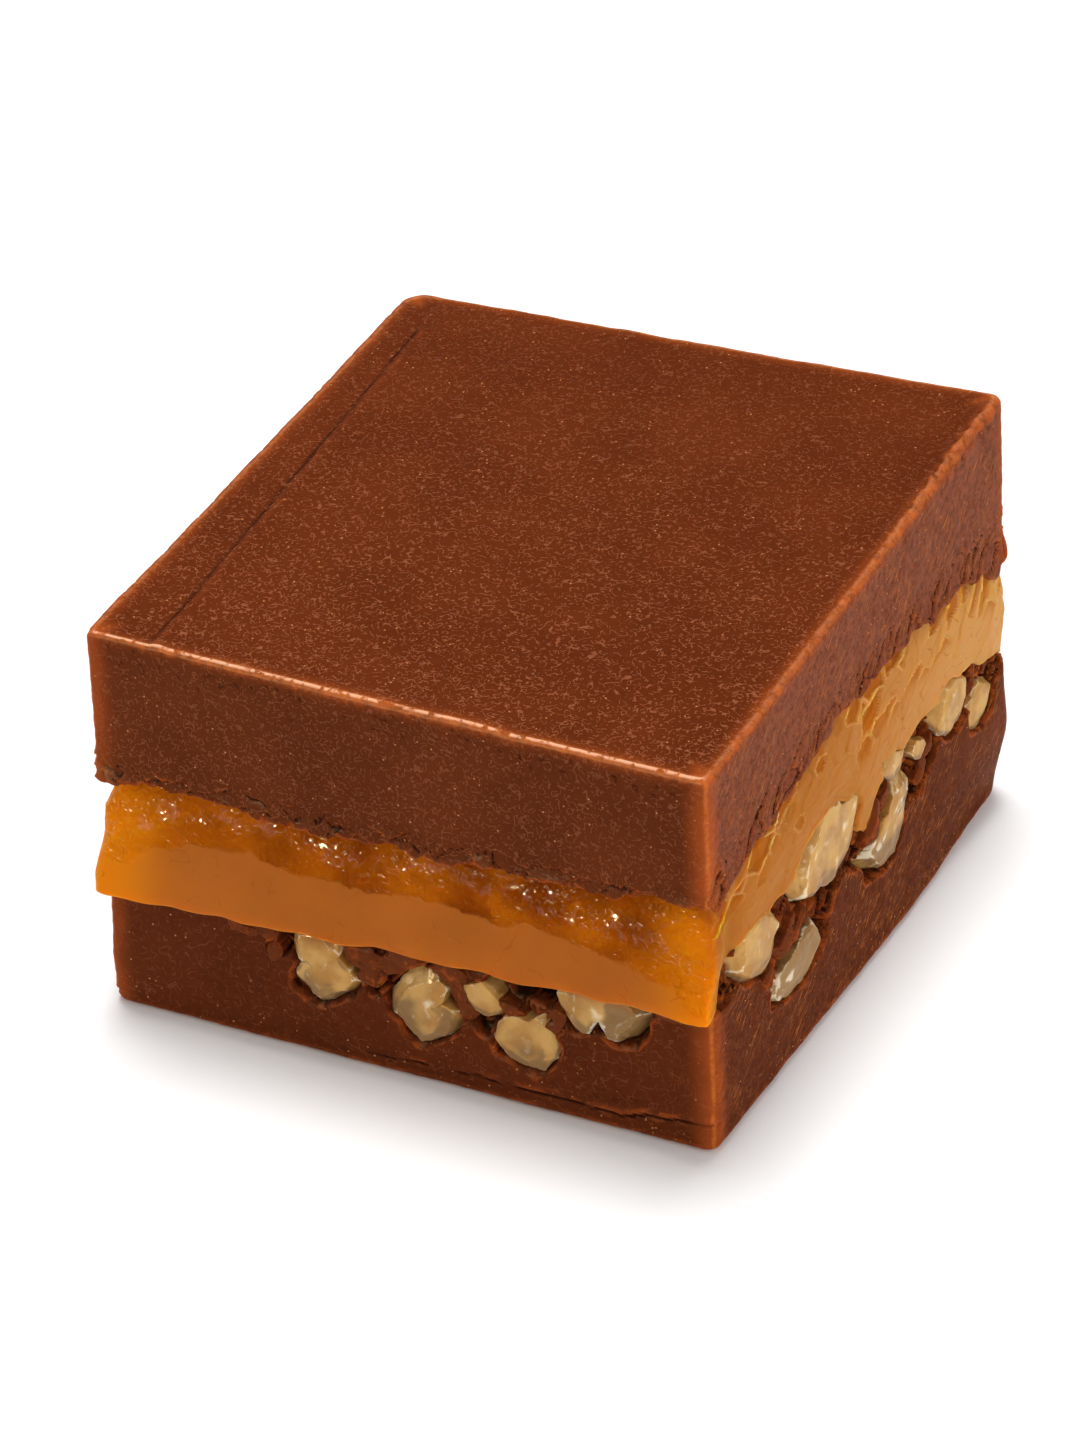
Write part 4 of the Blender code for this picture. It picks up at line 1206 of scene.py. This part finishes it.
# A ragged outline of nine corners round one torn piece
def tornOutline(rng, along, up, long, high, tilt):
    angle = math.radians(tilt)
    corners = []
    for k in range(9):
        turn = 2 * math.pi * k / 9
        reach = rng.uniform(0.85, 1.45)
        a, z = long * reach * math.cos(turn), high * reach * math.sin(turn)
        corners.append((along + a * math.cos(angle) - z * math.sin(angle),
                        up + a * math.sin(angle) + z * math.cos(angle)))
    return corners


def buildTornPieces(finish):
    whole = bmesh.new()
    for index, (side, piece) in numbered(tornPieces):
        mesh = bpy.data.meshes.new("torn")
        ball = sphere(5)
        ball.to_mesh(mesh)
        ball.free()
        rng = random.Random(300 + index)
        corners = tornOutline(rng, *piece)
        lump, middle = lumpPoints(readPoints(mesh), corners, 1.8, 0.1, 300 + index, 8, 0.2, 0.45)
        writePoints(mesh, onSide(lump, side, middle, rng.uniform(0.05, 0.45)))
        whole.from_mesh(mesh)
        bpy.data.meshes.remove(mesh)
    bmesh.ops.recalc_face_normals(whole, faces=whole.faces)
    made = newObject("torn_fudge", whole, finish)
    store(made.data, "fine", 2.2 * standOut(made.data, 5))
    farFromEdges = {"upright": 9, "level": 9, "cut": 0, "sunk": -0.7, "crown": 0, "lit": 0}
    for name, value in farFromEdges.items():
        store(made.data, name, np.full(len(made.data.vertices), float(value)))
    print("torn pieces", sum(map(len, tornPieces.values())))


# Floor, lights and camera
studio = {
    "floorSize": 3.0,
    "floorWhite": (0.93, 0.93, 0.93, 1),
    "sky": 0.42,
    # from where, how wide in degrees, how strong, colour
    "key": ((-0.08, 0.16, 1.0), 24, 2.6, (1, 1, 1)),
    "glint": ((-0.40, -0.70, 0.58), 11, 42, (1.0, 0.76, 0.40)),  # shows in gloss only
    "fill": ((1.0, -0.3, 0.5), 60, 1.1, (1, 1, 1)),
}


def buildStudio():
    bm = bmesh.new()
    bmesh.ops.create_grid(bm, x_segments=1, y_segments=1, size=studio["floorSize"] / 2)
    mesh = bpy.data.meshes.new("floor")
    bm.to_mesh(mesh)
    bm.free()
    floor = bpy.data.objects.new("floor", mesh)
    bpy.context.scene.collection.objects.link(floor)
    material, tree, shader = newMaterial("floor")
    setUp(tree, shader, Base_Color=studio["floorWhite"], Roughness=0.9, Specular_IOR_Level=0.0)
    mesh.materials.append(material)
    world = bpy.data.worlds.new("studio")
    world.use_nodes = True
    setUp(world.node_tree, world.node_tree.nodes["Background"], Color=(1, 1, 1, 1), Strength=studio["sky"])
    bpy.context.scene.world = world
    for name in ("key", "glint", "fill"):
        origin, wide, power, colour = studio[name]
        data = bpy.data.lights.new(name, "SUN")
        data.angle = math.radians(wide)
        data.energy = power
        data.color = colour
        lamp = bpy.data.objects.new(name, data)
        lamp.rotation_euler = Vector(origin).to_track_quat("Z", "Y").to_euler()
        lamp.visible_diffuse = name != "glint"
        bpy.context.scene.collection.objects.link(lamp)
    bpy.context.scene.view_settings.view_transform = "Standard"


# The picture's own camera: 29 degrees round from the front and 33 above, a long lens, a slight roll
cameraSet = {
    "turns": ((28.92, "Z"), (90 - 33.42, "X"), (-3.73, "Z")),
    "aim": (*square["middle"], 17.0),
    "shift": (-1.40, -1.335, 380.5),  # sideways, upwards and back from what it aims at
    "lens": 36 * 5000 / 1448,
    "nearest": 0.01,
}


def buildCamera():
    data = bpy.data.cameras.new("camera")
    data.lens = cameraSet["lens"]
    data.clip_start = cameraSet["nearest"]
    camera = bpy.data.objects.new("camera", data)
    place = Matrix.Translation(Vector(cameraSet["aim"]) * mm)
    for angle, axis in cameraSet["turns"]:
        place = place @ Matrix.Rotation(math.radians(angle), 4, axis)
    camera.matrix_world = place @ Matrix.Translation(Vector(cameraSet["shift"]) * mm)
    bpy.context.scene.collection.objects.link(camera)
    bpy.context.scene.camera = camera


buildCamera()
lowerFinish = fudgeMaterial("fudge")
buildSlabs(lowerFinish, fudgeMaterial("fudge_top"))
buildCaramel(caramelMaterial())
buildWalnuts(walnutMaterial())
buildTornPieces(lowerFinish)
buildStudio()
